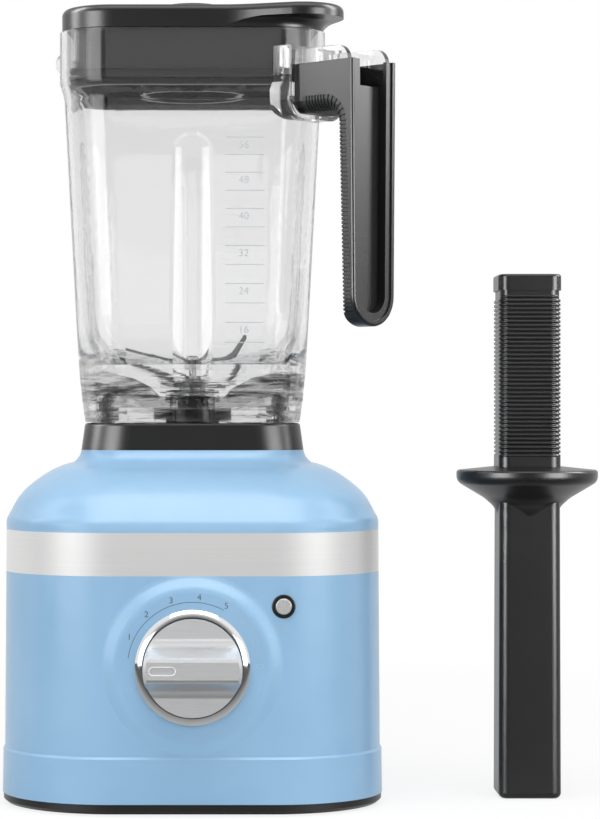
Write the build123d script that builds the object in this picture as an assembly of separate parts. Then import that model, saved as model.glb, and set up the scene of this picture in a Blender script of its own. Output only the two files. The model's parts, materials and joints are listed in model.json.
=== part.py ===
from build123d import *
import os
from math import cos, radians, sin, sqrt

# Countertop blender: painted motor base, clear square jar with a corner handle, lid, and a loose tamper.
# Millimetres, +Z up, front towards -Y, origin on the motor axis at the plane the base stands on.

# Base housing
BASE_HALF_WIDTH = 97.7
BASE_TOP_HALF_WIDTH = 97.0
DEPTH_EXTRA = 8.5
BASE_CORNER = 57.0
SHELL = 3.5
SKIRT_HALF_WIDTH = 98.8
SKIRT_TOP_HALF_WIDTH = 98.5
SKIRT_BOTTOM = 5.7
LEDGE_LOW = 28.2
LEDGE_HIGH = 29.4
SHOULDER_START = 143.0
SHOULDER_RISE = 34.0
SHOULDER_CENTRE = 56.0
SHOULDER_POWER = 1.15
SHOULDER_ANGLES = (0, 14, 28, 42, 55, 67)
SEAT_CORNER = 25.0
NECK_TOP = 182.8
NECK_HALF = 58.6
NECK_ANGLE = 77.5
NECK_STEPS = ((0.0, 0.0), (0.3, 0.52), (0.62, 0.84), (1.0, 1.0))
CEILING_ANGLES = (78, 90)
BAND_LOW = 120.2
BAND_HIGH = 141.9
BAND_THICKNESS = 1.2
BAND_GAP = 0.1

# Foot plate, foot ring and their screws
FOOT_BOTTOM = 0.6
FOOT_BOTTOM_HALF = 96.6
FOOT_BEND = 2.4
FOOT_HALF = 98.3
FOOT_TOP_HALF = 98.5
SPIGOT_TOP = 8.5
SPIGOT_GAP = 0.8
SPIGOT_WALL = 2.0
FOOT_RING_TOP = 2.6
FOOT_RING_INSET = 16.5
FOOT_RING_WIDTH = 8.0
VENT_COUNT = 7
VENT_PITCH = 8.0
VENT_LENGTH = 44.0
VENT_WIDTH = 3.2
PLATE_SCREW_X = 75.0
PLATE_SCREW_Y = 83.5
PLATE_BOSS_RADIUS = 6.5
PLATE_BOSS_TOP = 30.0
PLATE_BOSS_BOTTOM = 9.0
SCREW_RADIUS = 1.9
SCREW_HEAD_RADIUS = 3.8
SCREW_HEAD = 1.8
SCREW_LENGTH = 20.0
SCREW_GAP = 0.15

# Dial, knob and start button on the front
DIAL_Z = 74.8
DIAL_RAISE = 2.5
DIAL_FLAT_RADIUS = 37.5
DIAL_EDGE_RADIUS = 47.0
DIAL_HOLE_RADIUS = 9.0
BEZEL_RADIUS = 28.9
BEZEL_INNER = 25.4
BEZEL_DEPTH = 5.4
BEZEL_SLOPE = 2.0
BEZEL_BULGE = 0.2
KNOB_RADIUS = 24.7
KNOB_BACK_GAP = 0.6
KNOB_DISC = 6.4
KNOB_BAR = 21.5
BAR_BASE_HALF = 11.6
BAR_FLAT_HALF = 5.8
BAR_FOOT_FILLET = 5.0
BAR_CREST_FILLET = 2.2
KNOB_CHAMFER = 1.5
POINTER_LENGTH = 12.6
POINTER_WIDTH = 3.7
POINTER_DEPTH = 0.9
POINTER_CENTRE = -15.0
SELECTOR_RADIUS = 3.0
SELECTOR_LENGTH = 34.0
SELECTOR_IN_KNOB = 12.0
SELECTOR_END_GAP = 0.5
RUNNING_GAP = 0.05
BUTTON_X = 45.8
BUTTON_Z = 105.0
BUTTON_RADIUS = 4.05
BUTTON_PROUD = 1.6
BUTTON_LENGTH = 9.5
BUTTON_DISH = 0.35
BUTTON_STOP_RADIUS = 5.6
BUTTON_STOP = 1.5
BUTTON_RING_RADIUS = 5.9
BUTTON_RING_INNER = 4.4
BUTTON_RING_PROUD = 0.7
BUTTON_RING_LENGTH = 6.0
BUTTON_HOLE_GAP = 0.1
SPRING_RADIUS = 2.6
SPRING_WIRE = 0.35
SPRING_TURNS = 4

# Control board and switches behind the front wall
BOARD_FRONT = -86.0
BOARD_THICKNESS = 1.6
BOARD_HALF_WIDTH = 62.0
BOARD_LOW = 44.0
BOARD_HIGH = 116.0
BOARD_BOSS_X = 55.0
BOARD_BOSS_Z = (50.0, 100.0)
BOARD_BOSS_RADIUS = 4.0
BOARD_BOSS_REACH = 16.0
BOARD_SCREW_RADIUS = 1.4
BOARD_SCREW_HEAD_RADIUS = 2.8
BOARD_SCREW_LENGTH = 9.0
SELECTOR_BODY = 26.0
SELECTOR_DEPTH = 14.0
SELECTOR_BUSH_RADIUS = 5.0
SELECTOR_BUSH_LENGTH = 6.0
BUTTON_SWITCH_SIZE = 7.0
BUTTON_SWITCH_DEPTH = 5.0
CAPACITOR_RADIUS = 6.0
CAPACITOR_HEIGHT = 14.0
CAPACITOR_X = (-46.0, -32.0)
CAPACITOR_Z = 70.0
RELAY_SIZE = (20.0, 12.0, 16.0)
RELAY_X = 40.0
RELAY_Z = 62.0

# Cord gland in the back wall; the cord itself is not part of the model
GLAND_Z = 46.0
GLAND_RADIUS = 8.0
GLAND_BORE = 4.0
GLAND_FLANGE_RADIUS = 10.5
GLAND_FLANGE = 2.4
GLAND_BACK = 8.0

# Motor
SHAFT_RADIUS = 5.0
SHAFT_BOTTOM = 23.0
BRACKET_RADIUS = 62.0
BRACKET_PLATE = 5.0
LOWER_BRACKET_Z = 28.0
UPPER_BRACKET_Z = 152.0
BEARING_RADIUS = 11.0
BEARING_HEIGHT = 7.0
BEARING_LIP = 1.5
SHIELD_DEPTH_SHARE = 0.1
BRACKET_HUB_RADIUS = 15.0
BRACKET_HUB = 5.0
SHAFT_CLEARANCE = 1.5
SKIRT_OUTER = 49.0
SKIRT_INNER = 45.0
WINDOW_WIDTH = 40.0
WINDOW_MARGIN = 8.0
STACK_LOW = 74.0
STACK_HIGH = 116.0
STATOR_RADIUS = 48.0
STATOR_YOKE_INNER = 41.0
STATOR_BORE = 26.0
POLE_SHOE_RADIUS = 32.0
POLE_NECK_WIDTH = 24.0
POLE_SHOE_HALF = 23.0
COIL_IN = 32.5
COIL_OUT = 36.5
COIL_WIDTH = 36.0
COIL_END = 9.0
COIL_GAP = 0.3
ARMATURE_RADIUS = 25.0
ARMATURE_SLOTS = 12
SLOT_WIDTH = 5.0
SLOT_DEPTH = 9.0
WINDING_WIDTH = 4.6
WINDING_INNER = 12.0
WINDING_OUTER = 23.0
WINDING_END = 11.0
COMMUTATOR_LOW = 46.0
COMMUTATOR_HIGH = 60.0
COMMUTATOR_RADIUS = 12.0
COMMUTATOR_GROOVE = 0.8
COMMUTATOR_GROOVE_DEPTH = 2.0
BRUSH_WIDTH = 6.5
BRUSH_HEIGHT = 9.5
BRUSH_LENGTH = 22.0
BRUSH_GAP = 0.35
HOLDER_WALL = 1.5
HOLDER_START = 17.0
HOLDER_LENGTH = 36.0
FAN_LOW = 133.0
FAN_HIGH = 144.0
FAN_RADIUS = 40.0
FAN_DISC = 2.0
FAN_BLADES = 11
FAN_BLADE_THICKNESS = 1.6
FAN_HUB_RADIUS = 11.0
FAN_BLADE_INNER = 16.0
FAN_BLADE_TILT = 25.0
BOLT_CIRCLE = 55.0
BOLT_RADIUS = 2.5
BOLT_HEAD_RADIUS = 4.5
BOLT_HEAD = 4.0
MOUNT_CIRCLE = 54.0
MOUNT_RADIUS = 8.0
MOUNT_WAIST = 6.0
MOUNT_LOW = 16.0
POST_RADIUS = 9.0
PRESS_GAP = 0.05

# Drive coupling, seal and jar seat
SEAL_RADIUS = 12.0
SEAL_HEIGHT = 6.0
SEAL_LIP = 0.4
COLLAR_TOP = 196.8
COLLAR_TOP_HALF = 56.7
COLLAR_EDGE = 1.6
RECESS_FLOOR = 186.0
RECESS_HALF = 51.4
RECESS_CORNER = 19.0
COLLAR_HOLE_RADIUS = 15.0
POST_CENTRE = 44.5
POST_PIN_RADIUS = 3.6
POST_TOP = 212.0
COLLAR_SCREW_X = 32.0
COUPLER_LOW = 188.0
COUPLER_HIGH = 199.0
COUPLER_CORE_RADIUS = 8.5
COUPLER_LOBES = 6
COUPLER_LOBE_RADIUS = 2.6
COUPLER_CAP = 1.2
COUPLER_GAP = 0.4
DRIVEN_LOW = 189.4
DRIVEN_TOP = 202.6
DRIVEN_RADIUS = 14.5
SOCKET_TOP = 199.6

# Jar
JAR_FOOT = 188.4
JAR_FOOT_HALF = 50.8
JAR_FOOT_CORNER = 18.4
JAR_FOOT_STEP = 201.0
JAR_CAVITY_HALF = 46.5
JAR_CAVITY_CORNER = 15.0
JAR_SKIRT_HALF = 50.5
JAR_SKIRT_CORNER = 17.0
JAR_LOW = 197.2
JAR_LOW_HALF = 56.4
JAR_LOW_CORNER = 22.0
JAR_BELLY = 262.0
JAR_BELLY_HALF = 61.8
JAR_BELLY_CORNER = 24.5
JAR_SHOULDER = 364.0
JAR_SHOULDER_HALF = 67.1
JAR_SHOULDER_CORNER = 27.0
JAR_WALL_SHARES = tuple((share, share) for share in (0.0, 0.12, 0.3, 0.5, 0.75, 1.0))
JAR_STEP_SHARES = ((0.0, 0.0), (0.25, 0.1), (0.5, 0.5), (0.75, 0.9), (1.0, 1.0))
JAR_RIM_LOW = 377.0
JAR_RIM = 401.0
JAR_RIM_HALF = 69.6
JAR_RIM_CORNER = 28.5
JAR_WALL = 3.4
BOWL_FLOOR = 211.0
BOWL_HALF = 51.8
BOWL_CORNER = 19.5
BOWL_TOP = 227.5
BOWL_SLOPE = ((17.0, 0.0), (21.5, 4.6), (31.0, 9.4), (56.0, 15.6))
FLOOR_THICKNESS = 6.0
FLOOR_SLOPE = ((21.4, 0.0), (32.0, 4.6), (56.0, 9.5))
SLOPE_ROUND = 5.0
MOUND_SINK = 3.0
POST_POCKET_RADIUS = 4.3
POST_POCKET_TOP = 212.8
FLOOR_HOLE_RADIUS = 12.2
RIB_RADIUS = 23.0
RIB_GROOVE_RADIUS = 19.0
RIB_STAND = -17.0
RIB_LOW = 222.0
RIB_TOP = 336.2
SPOUT_CENTRE = 86.0
SPOUT_RADIUS = 16.0
SPOUT_LOW = 391.2
SPOUT_LIP = 404.2
SPOUT_ROUND = 6.2
SPOUT_WALL = 2.6
SPOUT_LID_GAP = 0.7

# Handle, on the front right corner of the jar
HANDLE_ANGLE = -45.0
HANDLE_ROOT = 89.0
HANDLE_OUT = 130.5
HANDLE_IN = 117.5
HANDLE_TIP_IN = 120.5
HANDLE_TOP = 381.0
HANDLE_ARM_LOW = 356.0
HANDLE_TIP = 246.0
HANDLE_HALF_WIDTH = 17.0
HANDLE_TIP_HALF_WIDTH = 15.8
HANDLE_BEND = 6.5
HANDLE_ROUND = 7.5
HANDLE_EDGE = 1.6
RIM_WIDTH = 3.0
RIM_DEPTH = 0.9
CHANNEL_HALF_WIDTH = 10.2
CHANNEL_DEPTH = 6.0
POCKET_IN = 106.0
POCKET_OUT = 127.4
POCKET_LOW = 368.5
GRIP_THICKNESS = 2.6
GRIP_WIDTH = 8.0
GRIP_START = 96.0
GRIP_LOW = 250.0
GRIP_PITCH = 2.0
GRIP_GROOVE = 0.8
GRIP_GROOVE_DEPTH = 0.6
GRIP_BEND_GROOVES = 7
GRIP_GAP = 0.05
BRACKET_IN = 84.0
BRACKET_OUT = 126.6
BRACKET_TOP = 388.5
BRACKET_LOW = 368.0
BRACKET_ROUND = 8.0
BRACKET_OFFSET = 12.9
BRACKET_THICKNESS = 3.0
BRACKET_GAP = 0.15
FRAME_IN = 76.0
FRAME_OUT = 91.5
FRAME_HALF_WIDTH = 19.8
FRAME_WALL = 2.2
FRAME_ROUND = 10.2
FRAME_LOW = 353.5
FRAME_TOP = 391.0
HANDLE_SCREW_Z = 374.5
HANDLE_SCREW_RADIUS = 2.0
HANDLE_SCREW_HEAD_RADIUS = 4.0
HANDLE_SCREW_HEAD = 3.0
HANDLE_SCREW_IN = 85.0
HANDLE_SCREW_OUT = 106.0

# Blade set and its bearing
GASKET_THICKNESS = 1.0
HOUSING_FLANGE_RADIUS = 14.6
HOUSING_FLANGE = 1.8
HOUSING_TOP = 214.5
HOUSING_RADIUS = 12.0
HOUSING_DOME_RADIUS = 12.0
HOUSING_BOTTOM = 203.6
BLADE_SHAFT_RADIUS = 3.95
BLADE_BEARING_RADIUS = 8.0
BLADE_BEARING_HEIGHT = 4.4
BLADE_BEARING_LOW = 203.9
BLADE_SEAL_GAP = 0.35
RETAINER_RADIUS = 21.0
RETAINER_LOW = 199.0
RETAINER_INNER = 16.0
RETAINER_NOTCHES = 6
BLADE_SHAFT_BOTTOM = 199.8
BLADE_SHOULDER = 214.8
BLADE_STUD_RADIUS = 3.0
BLADE_STUD_TOP = 228.0
SPACER_RADIUS = 7.0
SPACER_THICKNESS = 1.4
BLADE_THICKNESS = 1.8
BLADE_HUB_RADIUS = 8.5
BLADE_ROOT_HALF = 6.2
BLADE_TIP_HALF = 0.9
BLADE_PLAN_LIMIT = 45.0
UPPER_BLADE_ANGLE = 25.0
LEFT_TIP = (-39.5, 12.8)
RIGHT_KNEE = (23.2, 1.2)
RIGHT_TIP = (32.0, 21.5)
RIGHT_BEND = 9.0
ROOT_BEND = 3.0
LOWER_KNEE = 13.0
LOWER_TIP = 24.0
LOWER_RISE = 1.6
LOWER_DROP = -0.6
LOWER_BLADE_ANGLE = -45.0
HUB_NUT_RADIUS = 4.4
HUB_NUT_TOP = 233.0
HUB_NUT_DOME = 1.6

# Lid and centre cap
LID_LOW = 401.5
LID_TOP = 413.3
LID_HALF = 68.4
LID_CORNER = 27.0
LID_EDGE = 3.6
TAB_CENTRE = 80.0
TAB_RADIUS = 22.0
TAB_BLEND_X = 16.0
TAB_TOUCH = radians(60.0)
TAB_COVE = 5.2
PLUG_LOW = 372.6
PLUG_HALF = 62.0
PLUG_CORNER = 21.5
PLUG_WALL = 3.2
LID_ROOF = 3.6
HOLE_RADIUS = 25.2
HOLE_WALL = 3.0
CAP_SEAT_RADIUS = 30.0
CAP_SEAT_DEPTH = 3.0
LID_GASKET_LOW = 372.8
LID_GASKET_HIGH = 381.6
LID_GASKET_SKIN = 1.0
LID_GASKET_FINS = 3
LID_FIN = 1.6
LID_FIN_HALF = 64.6
CAP_TOP = 414.3
CAP_KNOB_RADIUS = 17.5
CAP_KNOB_TOP = 421.3
CAP_KNOB_EDGE = 2.5
CAP_FLANGE_RADIUS = 29.5
CAP_RADIUS = 24.3
CAP_LOW = 377.0
CAP_WALL = 2.2
CAP_SEAL_LOW = 392.0
CAP_SEAL = 3.0
CAP_SEAL_GROOVE = 1.2
CAP_SEAL_RADIUS = 24.8
CAP_EDGE = 1.2

# Tamper, loose, standing beside the base
TAMPER_X = 177.0
TAMPER_Y = -30.0
TAMPER_HEIGHT = 275.0
TAMPER_SHAFT_HALF = 16.4
TAMPER_SHAFT_TOP_HALF = 15.9
TAMPER_CORNER = 5.0
TAMPER_FOOT_EDGE = 3.0
TAMPER_CONE_LOW = 143.0
TAMPER_CONE_FOOT = 151.2
TAMPER_CONE_RADIUS = 15.9
TAMPER_CONE_KNEE = (22.5, 157.2)
TAMPER_FLANGE_LOW = 166.0
TAMPER_FLANGE_HIGH = 172.0
TAMPER_FLANGE_TOP = 174.0
TAMPER_FLANGE_RADIUS = 37.2
TAMPER_NECK_RADIUS = 18.0
TAMPER_FOOT_BLEND = 10.0
TAMPER_KNEE_BLEND = 18.0
TAMPER_RIM_LOW_EDGE = 5.0
TAMPER_RIM_EDGE = 1.5
TAMPER_NECK_HIGH = 179.0
TAMPER_GRIP_HIGH = 264.0
TAMPER_GRIP_HALF = 16.3
TAMPER_GRIP_CORNER = 5.5
TAMPER_RIB_PITCH = 2.2
TAMPER_RIB = 1.3
TAMPER_RIB_DEPTH = 0.7
TAMPER_CAP_LOW = 266.5
TAMPER_CAP_HALF = 16.6
TAMPER_CAP_EDGE = 1.5
TAMPER_PEG_RADIUS = 9.0
TAMPER_PEG = 6.0

# Values worked out from the driving dimensions
LOW_AT = (Align.CENTER, Align.CENTER, Align.MIN)
QUARTERS = (45, 135, 225, 315)
SIDES = (0, 90, 180, 270)
DIAL_FACE = -(BASE_HALF_WIDTH + DEPTH_EXTRA) - DIAL_RAISE
KNOB_BACK = DIAL_FACE - KNOB_BACK_GAP
SELECTOR_FRONT = KNOB_BACK - SELECTOR_IN_KNOB


def section(half_x, half_y, corner, z):
    """A rounded rectangle about the motor axis at height z."""
    return Pos(0, 0, z) * RectangleRounded(2 * half_x, 2 * half_y, corner)


def square(half, corner, z):
    return section(half, half, corner, z)


def block(half_x, half_y, corner, low, high):
    return extrude(section(half_x, half_y, corner, low), high - low)


def square_block(half, corner, low, high):
    return block(half, half, corner, low, high)


def rod(radius, low, high, x=0, y=0):
    """An upright cylinder."""
    return Pos(x, y, low) * Cylinder(radius, high - low, align=LOW_AT)


def tube(outer, inner, low, high, x=0, y=0):
    return rod(outer, low, high, x, y) - rod(inner, low, high, x, y)


def rod_back(radius, front, back, x, z):
    """A cylinder that runs from front to back along Y."""
    return Pos(x, front, z) * Rot(-90, 0, 0) * Cylinder(radius, back - front, align=LOW_AT)


def rod_out(radius, inner, outer, z):
    """A cylinder that runs outward along X at height z."""
    return Pos(inner, 0, z) * Rot(0, 90, 0) * Cylinder(radius, outer - inner, align=LOW_AT)


def brick(low, high):
    """A box between two corners."""
    size = [b - a for a, b in zip(low, high)]
    middle = [(a + b) / 2 for a, b in zip(low, high)]
    return Pos(*middle) * Box(*size)


def group(shapes):
    """Separate solids that share one node."""
    return Compound(children=[solid for shape in shapes for solid in shape.solids()])


def turned(shape, angle):
    return Rot(0, 0, angle) * shape


def corners(x, y):
    """The four points that mirror (x, y) about both axes."""
    return [(sx * x, sy * y) for sx in (1, -1) for sy in (1, -1)]


def wall_half(z):
    """Half the housing's width at height z, on the straight wall above the ledge."""
    share = (z - LEDGE_HIGH) / (SHOULDER_START - LEDGE_HIGH)
    return BASE_HALF_WIDTH + (BASE_TOP_HALF_WIDTH - BASE_HALF_WIDTH) * share


def base_section(half, z, inset=0.0):
    return section(half - inset, half + DEPTH_EXTRA - inset, BASE_CORNER - inset, z)


def shoulder_section(angle, inset=0.0):
    """One level of the oval shoulder, from the straight wall (0) to the flat top (90 degrees)."""
    spread = cos(radians(angle)) ** SHOULDER_POWER
    half = SHOULDER_CENTRE + (BASE_TOP_HALF_WIDTH - SHOULDER_CENTRE) * spread
    half_depth = half + DEPTH_EXTRA * spread
    corner = SEAT_CORNER + (BASE_CORNER - SEAT_CORNER) * spread
    z = SHOULDER_START + (SHOULDER_RISE - inset) * sin(radians(angle)) ** SHOULDER_POWER
    return section(half - inset, half_depth - inset, corner - inset, z)


def neck_sections():
    """Levels of the concave sweep from the shoulder up to the jar seat."""
    spread = cos(radians(NECK_ANGLE)) ** SHOULDER_POWER
    low_half = SHOULDER_CENTRE + (BASE_TOP_HALF_WIDTH - SHOULDER_CENTRE) * spread
    low_corner = SEAT_CORNER + (BASE_CORNER - SEAT_CORNER) * spread
    low_z = SHOULDER_START + SHOULDER_RISE * sin(radians(NECK_ANGLE)) ** SHOULDER_POWER
    levels = []
    for rise, pull in NECK_STEPS:
        half = low_half + (NECK_HALF - low_half) * pull
        half_depth = half + DEPTH_EXTRA * spread * (1 - pull)
        corner = low_corner + (SEAT_CORNER - low_corner) * pull
        levels.append(section(half, half_depth, corner, low_z + (NECK_TOP - low_z) * rise))
    return levels


def dial_boss():
    """The raised disc around the dial, with a soft edge down to the front wall."""
    wall = -(wall_half(DIAL_Z) + DEPTH_EXTRA)
    with BuildPart() as boss:
        with BuildSketch(Plane.XY):
            with BuildLine():
                Polyline((0, wall + SHELL), (0, DIAL_FACE), (DIAL_FLAT_RADIUS, DIAL_FACE))
                Spline(
                    (DIAL_FLAT_RADIUS, DIAL_FACE),
                    ((DIAL_FLAT_RADIUS + DIAL_EDGE_RADIUS) / 2, (DIAL_FACE + wall) / 2),
                    (DIAL_EDGE_RADIUS, wall + BAND_GAP),
                    tangents=((1, 0), (1, 0)),
                )
                edge = (DIAL_EDGE_RADIUS, wall + BAND_GAP)
                Polyline(edge, (DIAL_EDGE_RADIUS, wall + SHELL), (0, wall + SHELL))
            make_face()
        revolve(axis=Axis.Y)
    return Pos(0, 0, DIAL_Z) * boss.part


def board_fixings():
    """Where the control board is screwed to the front wall, as (x, z)."""
    return [(x, z) for x in (BOARD_BOSS_X, -BOARD_BOSS_X) for z in BOARD_BOSS_Z]


def base_housing():
    levels = (
        base_section(SKIRT_HALF_WIDTH, SKIRT_BOTTOM),
        base_section(SKIRT_TOP_HALF_WIDTH, LEDGE_LOW),
        base_section(BASE_HALF_WIDTH, LEDGE_HIGH),
        base_section(BASE_TOP_HALF_WIDTH, SHOULDER_START),
    )
    skirt, ledge, wall = (loft(pair) for pair in zip(levels, levels[1:]))
    shoulder = loft([shoulder_section(angle) for angle in SHOULDER_ANGLES] + neck_sections())
    outside = skirt + ledge + wall + shoulder + dial_boss()
    cavity_low = base_section(BASE_HALF_WIDTH, SKIRT_BOTTOM, SHELL)
    low_cavity = loft([cavity_low, base_section(BASE_TOP_HALF_WIDTH, SHOULDER_START, SHELL)])
    high_cavity = loft([shoulder_section(angle, SHELL) for angle in SHOULDER_ANGLES + CEILING_ANGLES])
    shape = outside - low_cavity - high_cavity - band_space(BAND_THICKNESS + BAND_GAP, SHELL)
    for x, y in corners(PLATE_SCREW_X, PLATE_SCREW_Y):
        boss = rod(PLATE_BOSS_RADIUS, PLATE_BOSS_BOTTOM, PLATE_BOSS_TOP, x, y)
        shape += boss & block(
            BASE_HALF_WIDTH, BASE_HALF_WIDTH + DEPTH_EXTRA, BASE_CORNER, PLATE_BOSS_BOTTOM, PLATE_BOSS_TOP
        )
        shape -= rod(SCREW_RADIUS + SCREW_GAP, PLATE_BOSS_BOTTOM, PLATE_BOSS_TOP - SHELL, x, y)
    for x, z in board_fixings():
        shape += rod_back(BOARD_BOSS_RADIUS, BOARD_FRONT - BOARD_BOSS_REACH, BOARD_FRONT, x, z)
        tip = BOARD_FRONT + BOARD_THICKNESS - BOARD_SCREW_LENGTH - SCREW_GAP
        shape -= rod_back(BOARD_SCREW_RADIUS + SCREW_GAP, tip, BOARD_FRONT, x, z)
    inside = BOARD_FRONT - BOARD_BOSS_REACH / 2
    shape -= rod_back(DIAL_HOLE_RADIUS, DIAL_FACE - SHELL, inside, 0, DIAL_Z)
    button_hole = BUTTON_RING_RADIUS + BUTTON_HOLE_GAP
    shape -= rod_back(button_hole, DIAL_FACE - SHELL, inside, BUTTON_X, BUTTON_Z)
    back = wall_half(GLAND_Z) + DEPTH_EXTRA
    shape -= rod_back(GLAND_RADIUS + SCREW_GAP, back - GLAND_BACK, back + GLAND_BACK, 0, GLAND_Z)
    shape -= rod(SEAL_RADIUS + PRESS_GAP, SHOULDER_START, NECK_TOP)
    for x, y in corners(COLLAR_SCREW_X, COLLAR_SCREW_X):
        shape -= rod(SCREW_RADIUS + SCREW_GAP, SHOULDER_START, NECK_TOP, x, y)
    return shape


def band_space(depth, outset):
    """The strip of wall between the band's edges, from depth inside the surface to outset beyond it."""
    low_half, high_half = wall_half(BAND_LOW), wall_half(BAND_HIGH)
    outer = loft([base_section(low_half, BAND_LOW, -outset), base_section(high_half, BAND_HIGH, -outset)])
    inner = loft([base_section(low_half, BAND_LOW, depth), base_section(high_half, BAND_HIGH, depth)])
    return outer - inner


def trim_band():
    return band_space(BAND_THICKNESS, 0.0)


def foot_ring_shape(low, high):
    half = FOOT_BOTTOM_HALF - FOOT_RING_INSET
    corner = BASE_CORNER - FOOT_RING_INSET
    outer = block(half, half + DEPTH_EXTRA, corner, low, high)
    inner_half = half - FOOT_RING_WIDTH
    return outer - block(inner_half, inner_half + DEPTH_EXTRA, corner - FOOT_RING_WIDTH, low, high)


def foot_plate():
    plate = loft([base_section(FOOT_BOTTOM_HALF, FOOT_BOTTOM), base_section(FOOT_HALF, FOOT_BEND)])
    plate += loft([base_section(FOOT_HALF, FOOT_BEND), base_section(FOOT_TOP_HALF, SKIRT_BOTTOM)])
    rim = base_section(BASE_HALF_WIDTH, SKIRT_BOTTOM, SHELL + SPIGOT_GAP)
    rim -= base_section(BASE_HALF_WIDTH, SKIRT_BOTTOM, SHELL + SPIGOT_GAP + SPIGOT_WALL)
    plate += extrude(rim, SPIGOT_TOP - SKIRT_BOTTOM)
    for angle in SIDES:
        plate += turned(rod(POST_RADIUS, SKIRT_BOTTOM, MOUNT_LOW, MOUNT_CIRCLE), angle)
    plate -= foot_ring_shape(FOOT_BOTTOM, FOOT_RING_TOP)
    for x, y in corners(PLATE_SCREW_X, PLATE_SCREW_Y):
        plate -= rod(SCREW_RADIUS + SCREW_GAP, 0, SPIGOT_TOP, x, y)
        plate -= rod(SCREW_HEAD_RADIUS + SCREW_GAP, 0, FOOT_BEND + SCREW_GAP, x, y)
    for row in range(VENT_COUNT):
        y = (row - (VENT_COUNT - 1) / 2) * VENT_PITCH
        plate -= extrude(Pos(0, y, 0) * SlotOverall(VENT_LENGTH, VENT_WIDTH), SPIGOT_TOP)
    return plate


def foot_ring():
    return foot_ring_shape(0.0, FOOT_RING_TOP)


def screw_up(x, y, head_top, length):
    """A screw driven upward, its head's upper face at head_top."""
    head = rod(SCREW_HEAD_RADIUS, head_top - SCREW_HEAD, head_top, x, y)
    slot = brick(
        (x - SCREW_HEAD_RADIUS, y - SCREW_GAP * 2, head_top - SCREW_HEAD),
        (x + SCREW_HEAD_RADIUS, y + SCREW_GAP * 2, head_top - SCREW_HEAD / 2),
    )
    return head + rod(SCREW_RADIUS, head_top, head_top + length, x, y) - slot


def foot_plate_screws():
    return group(
        screw_up(x, y, FOOT_BEND + SCREW_GAP, SCREW_LENGTH) for x, y in corners(PLATE_SCREW_X, PLATE_SCREW_Y)
    )


def dial_bezel():
    """Chrome ring around the knob, whose face slopes outward."""
    with BuildPart() as ring:
        with BuildSketch(Plane.XY):
            with BuildLine():
                outer = BEZEL_RADIUS
                front = DIAL_FACE - BEZEL_DEPTH
                Polyline((BEZEL_INNER, front), (BEZEL_INNER, DIAL_FACE), (outer, DIAL_FACE))
                Line((outer, DIAL_FACE), (outer, front + BEZEL_SLOPE))
                ThreePointArc(
                    (outer, front + BEZEL_SLOPE),
                    ((BEZEL_INNER + outer) / 2 + BEZEL_BULGE, front + BEZEL_SLOPE / 2 - BEZEL_BULGE),
                    (BEZEL_INNER, front),
                )
            make_face()
        revolve(axis=Axis.Y)
    return Pos(0, 0, DIAL_Z) * ring.part


def knob_blank():
    """The round outline of the knob, chamfered at its front edge."""
    with BuildPart() as blank:
        with BuildSketch(Plane.XY):
            with BuildLine():
                Polyline(
                    (0, 0),
                    (KNOB_RADIUS, 0),
                    (KNOB_RADIUS, -KNOB_BAR + KNOB_CHAMFER),
                    (KNOB_RADIUS - KNOB_CHAMFER, -KNOB_BAR),
                    (0, -KNOB_BAR),
                    close=True,
                )
            make_face()
        revolve(axis=Axis.Y)
    return blank.part


def control_knob():
    """A disc with a grip bar right across it and an engraved pointer line."""
    outline = Polyline(
        (-KNOB_RADIUS, 0),
        (-KNOB_RADIUS, KNOB_DISC),
        (-BAR_BASE_HALF, KNOB_DISC),
        (-BAR_FLAT_HALF, KNOB_BAR),
        (BAR_FLAT_HALF, KNOB_BAR),
        (BAR_BASE_HALF, KNOB_DISC),
        (KNOB_RADIUS, KNOB_DISC),
        (KNOB_RADIUS, 0),
        close=True,
    )
    profile = make_face(outline)
    feet = [v for v in profile.vertices() if abs(abs(v.X) - BAR_BASE_HALF) < SCREW_GAP]
    profile = fillet(feet, BAR_FOOT_FILLET)
    crests = [v for v in profile.vertices() if v.Y > KNOB_BAR - SCREW_GAP]
    profile = fillet(crests, BAR_CREST_FILLET)
    side_plane = Plane(origin=(-KNOB_RADIUS, 0, 0), x_dir=(0, 0, 1), z_dir=(1, 0, 0))
    bar = extrude(side_plane * profile, 2 * KNOB_RADIUS)
    knob = bar & knob_blank()
    pointer = Plane(origin=(POINTER_CENTRE, -KNOB_BAR, 0), x_dir=(1, 0, 0), z_dir=(0, -1, 0))
    knob -= extrude(pointer * SlotOverall(POINTER_LENGTH, POINTER_WIDTH), -POINTER_DEPTH)
    knob = Pos(0, KNOB_BACK, DIAL_Z) * knob
    return knob - rod_back(SELECTOR_RADIUS + PRESS_GAP, SELECTOR_FRONT, KNOB_BACK, 0, DIAL_Z)


def selector_shaft():
    return rod_back(SELECTOR_RADIUS, SELECTOR_FRONT, SELECTOR_FRONT + SELECTOR_LENGTH, 0, DIAL_Z)


def selector_switch():
    """Rotary switch on the board, with the bush that carries the knob's shaft."""
    front = BOARD_FRONT - SELECTOR_DEPTH
    half = SELECTOR_BODY / 2
    body = brick((-half, front, DIAL_Z - half), (half, BOARD_FRONT, DIAL_Z + half))
    body += rod_back(SELECTOR_BUSH_RADIUS, front - SELECTOR_BUSH_LENGTH, front, 0, DIAL_Z)
    bore_end = SELECTOR_FRONT + SELECTOR_LENGTH + SELECTOR_END_GAP
    return body - rod_back(SELECTOR_RADIUS + RUNNING_GAP, front - SELECTOR_BUSH_LENGTH, bore_end, 0, DIAL_Z)


def button_wall():
    """Where the front wall's surface stands at the start button."""
    half = wall_half(BUTTON_Z)
    across = BUTTON_X - (half - BASE_CORNER)
    return -(half + DEPTH_EXTRA - BASE_CORNER + sqrt(BASE_CORNER**2 - across**2))


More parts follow.
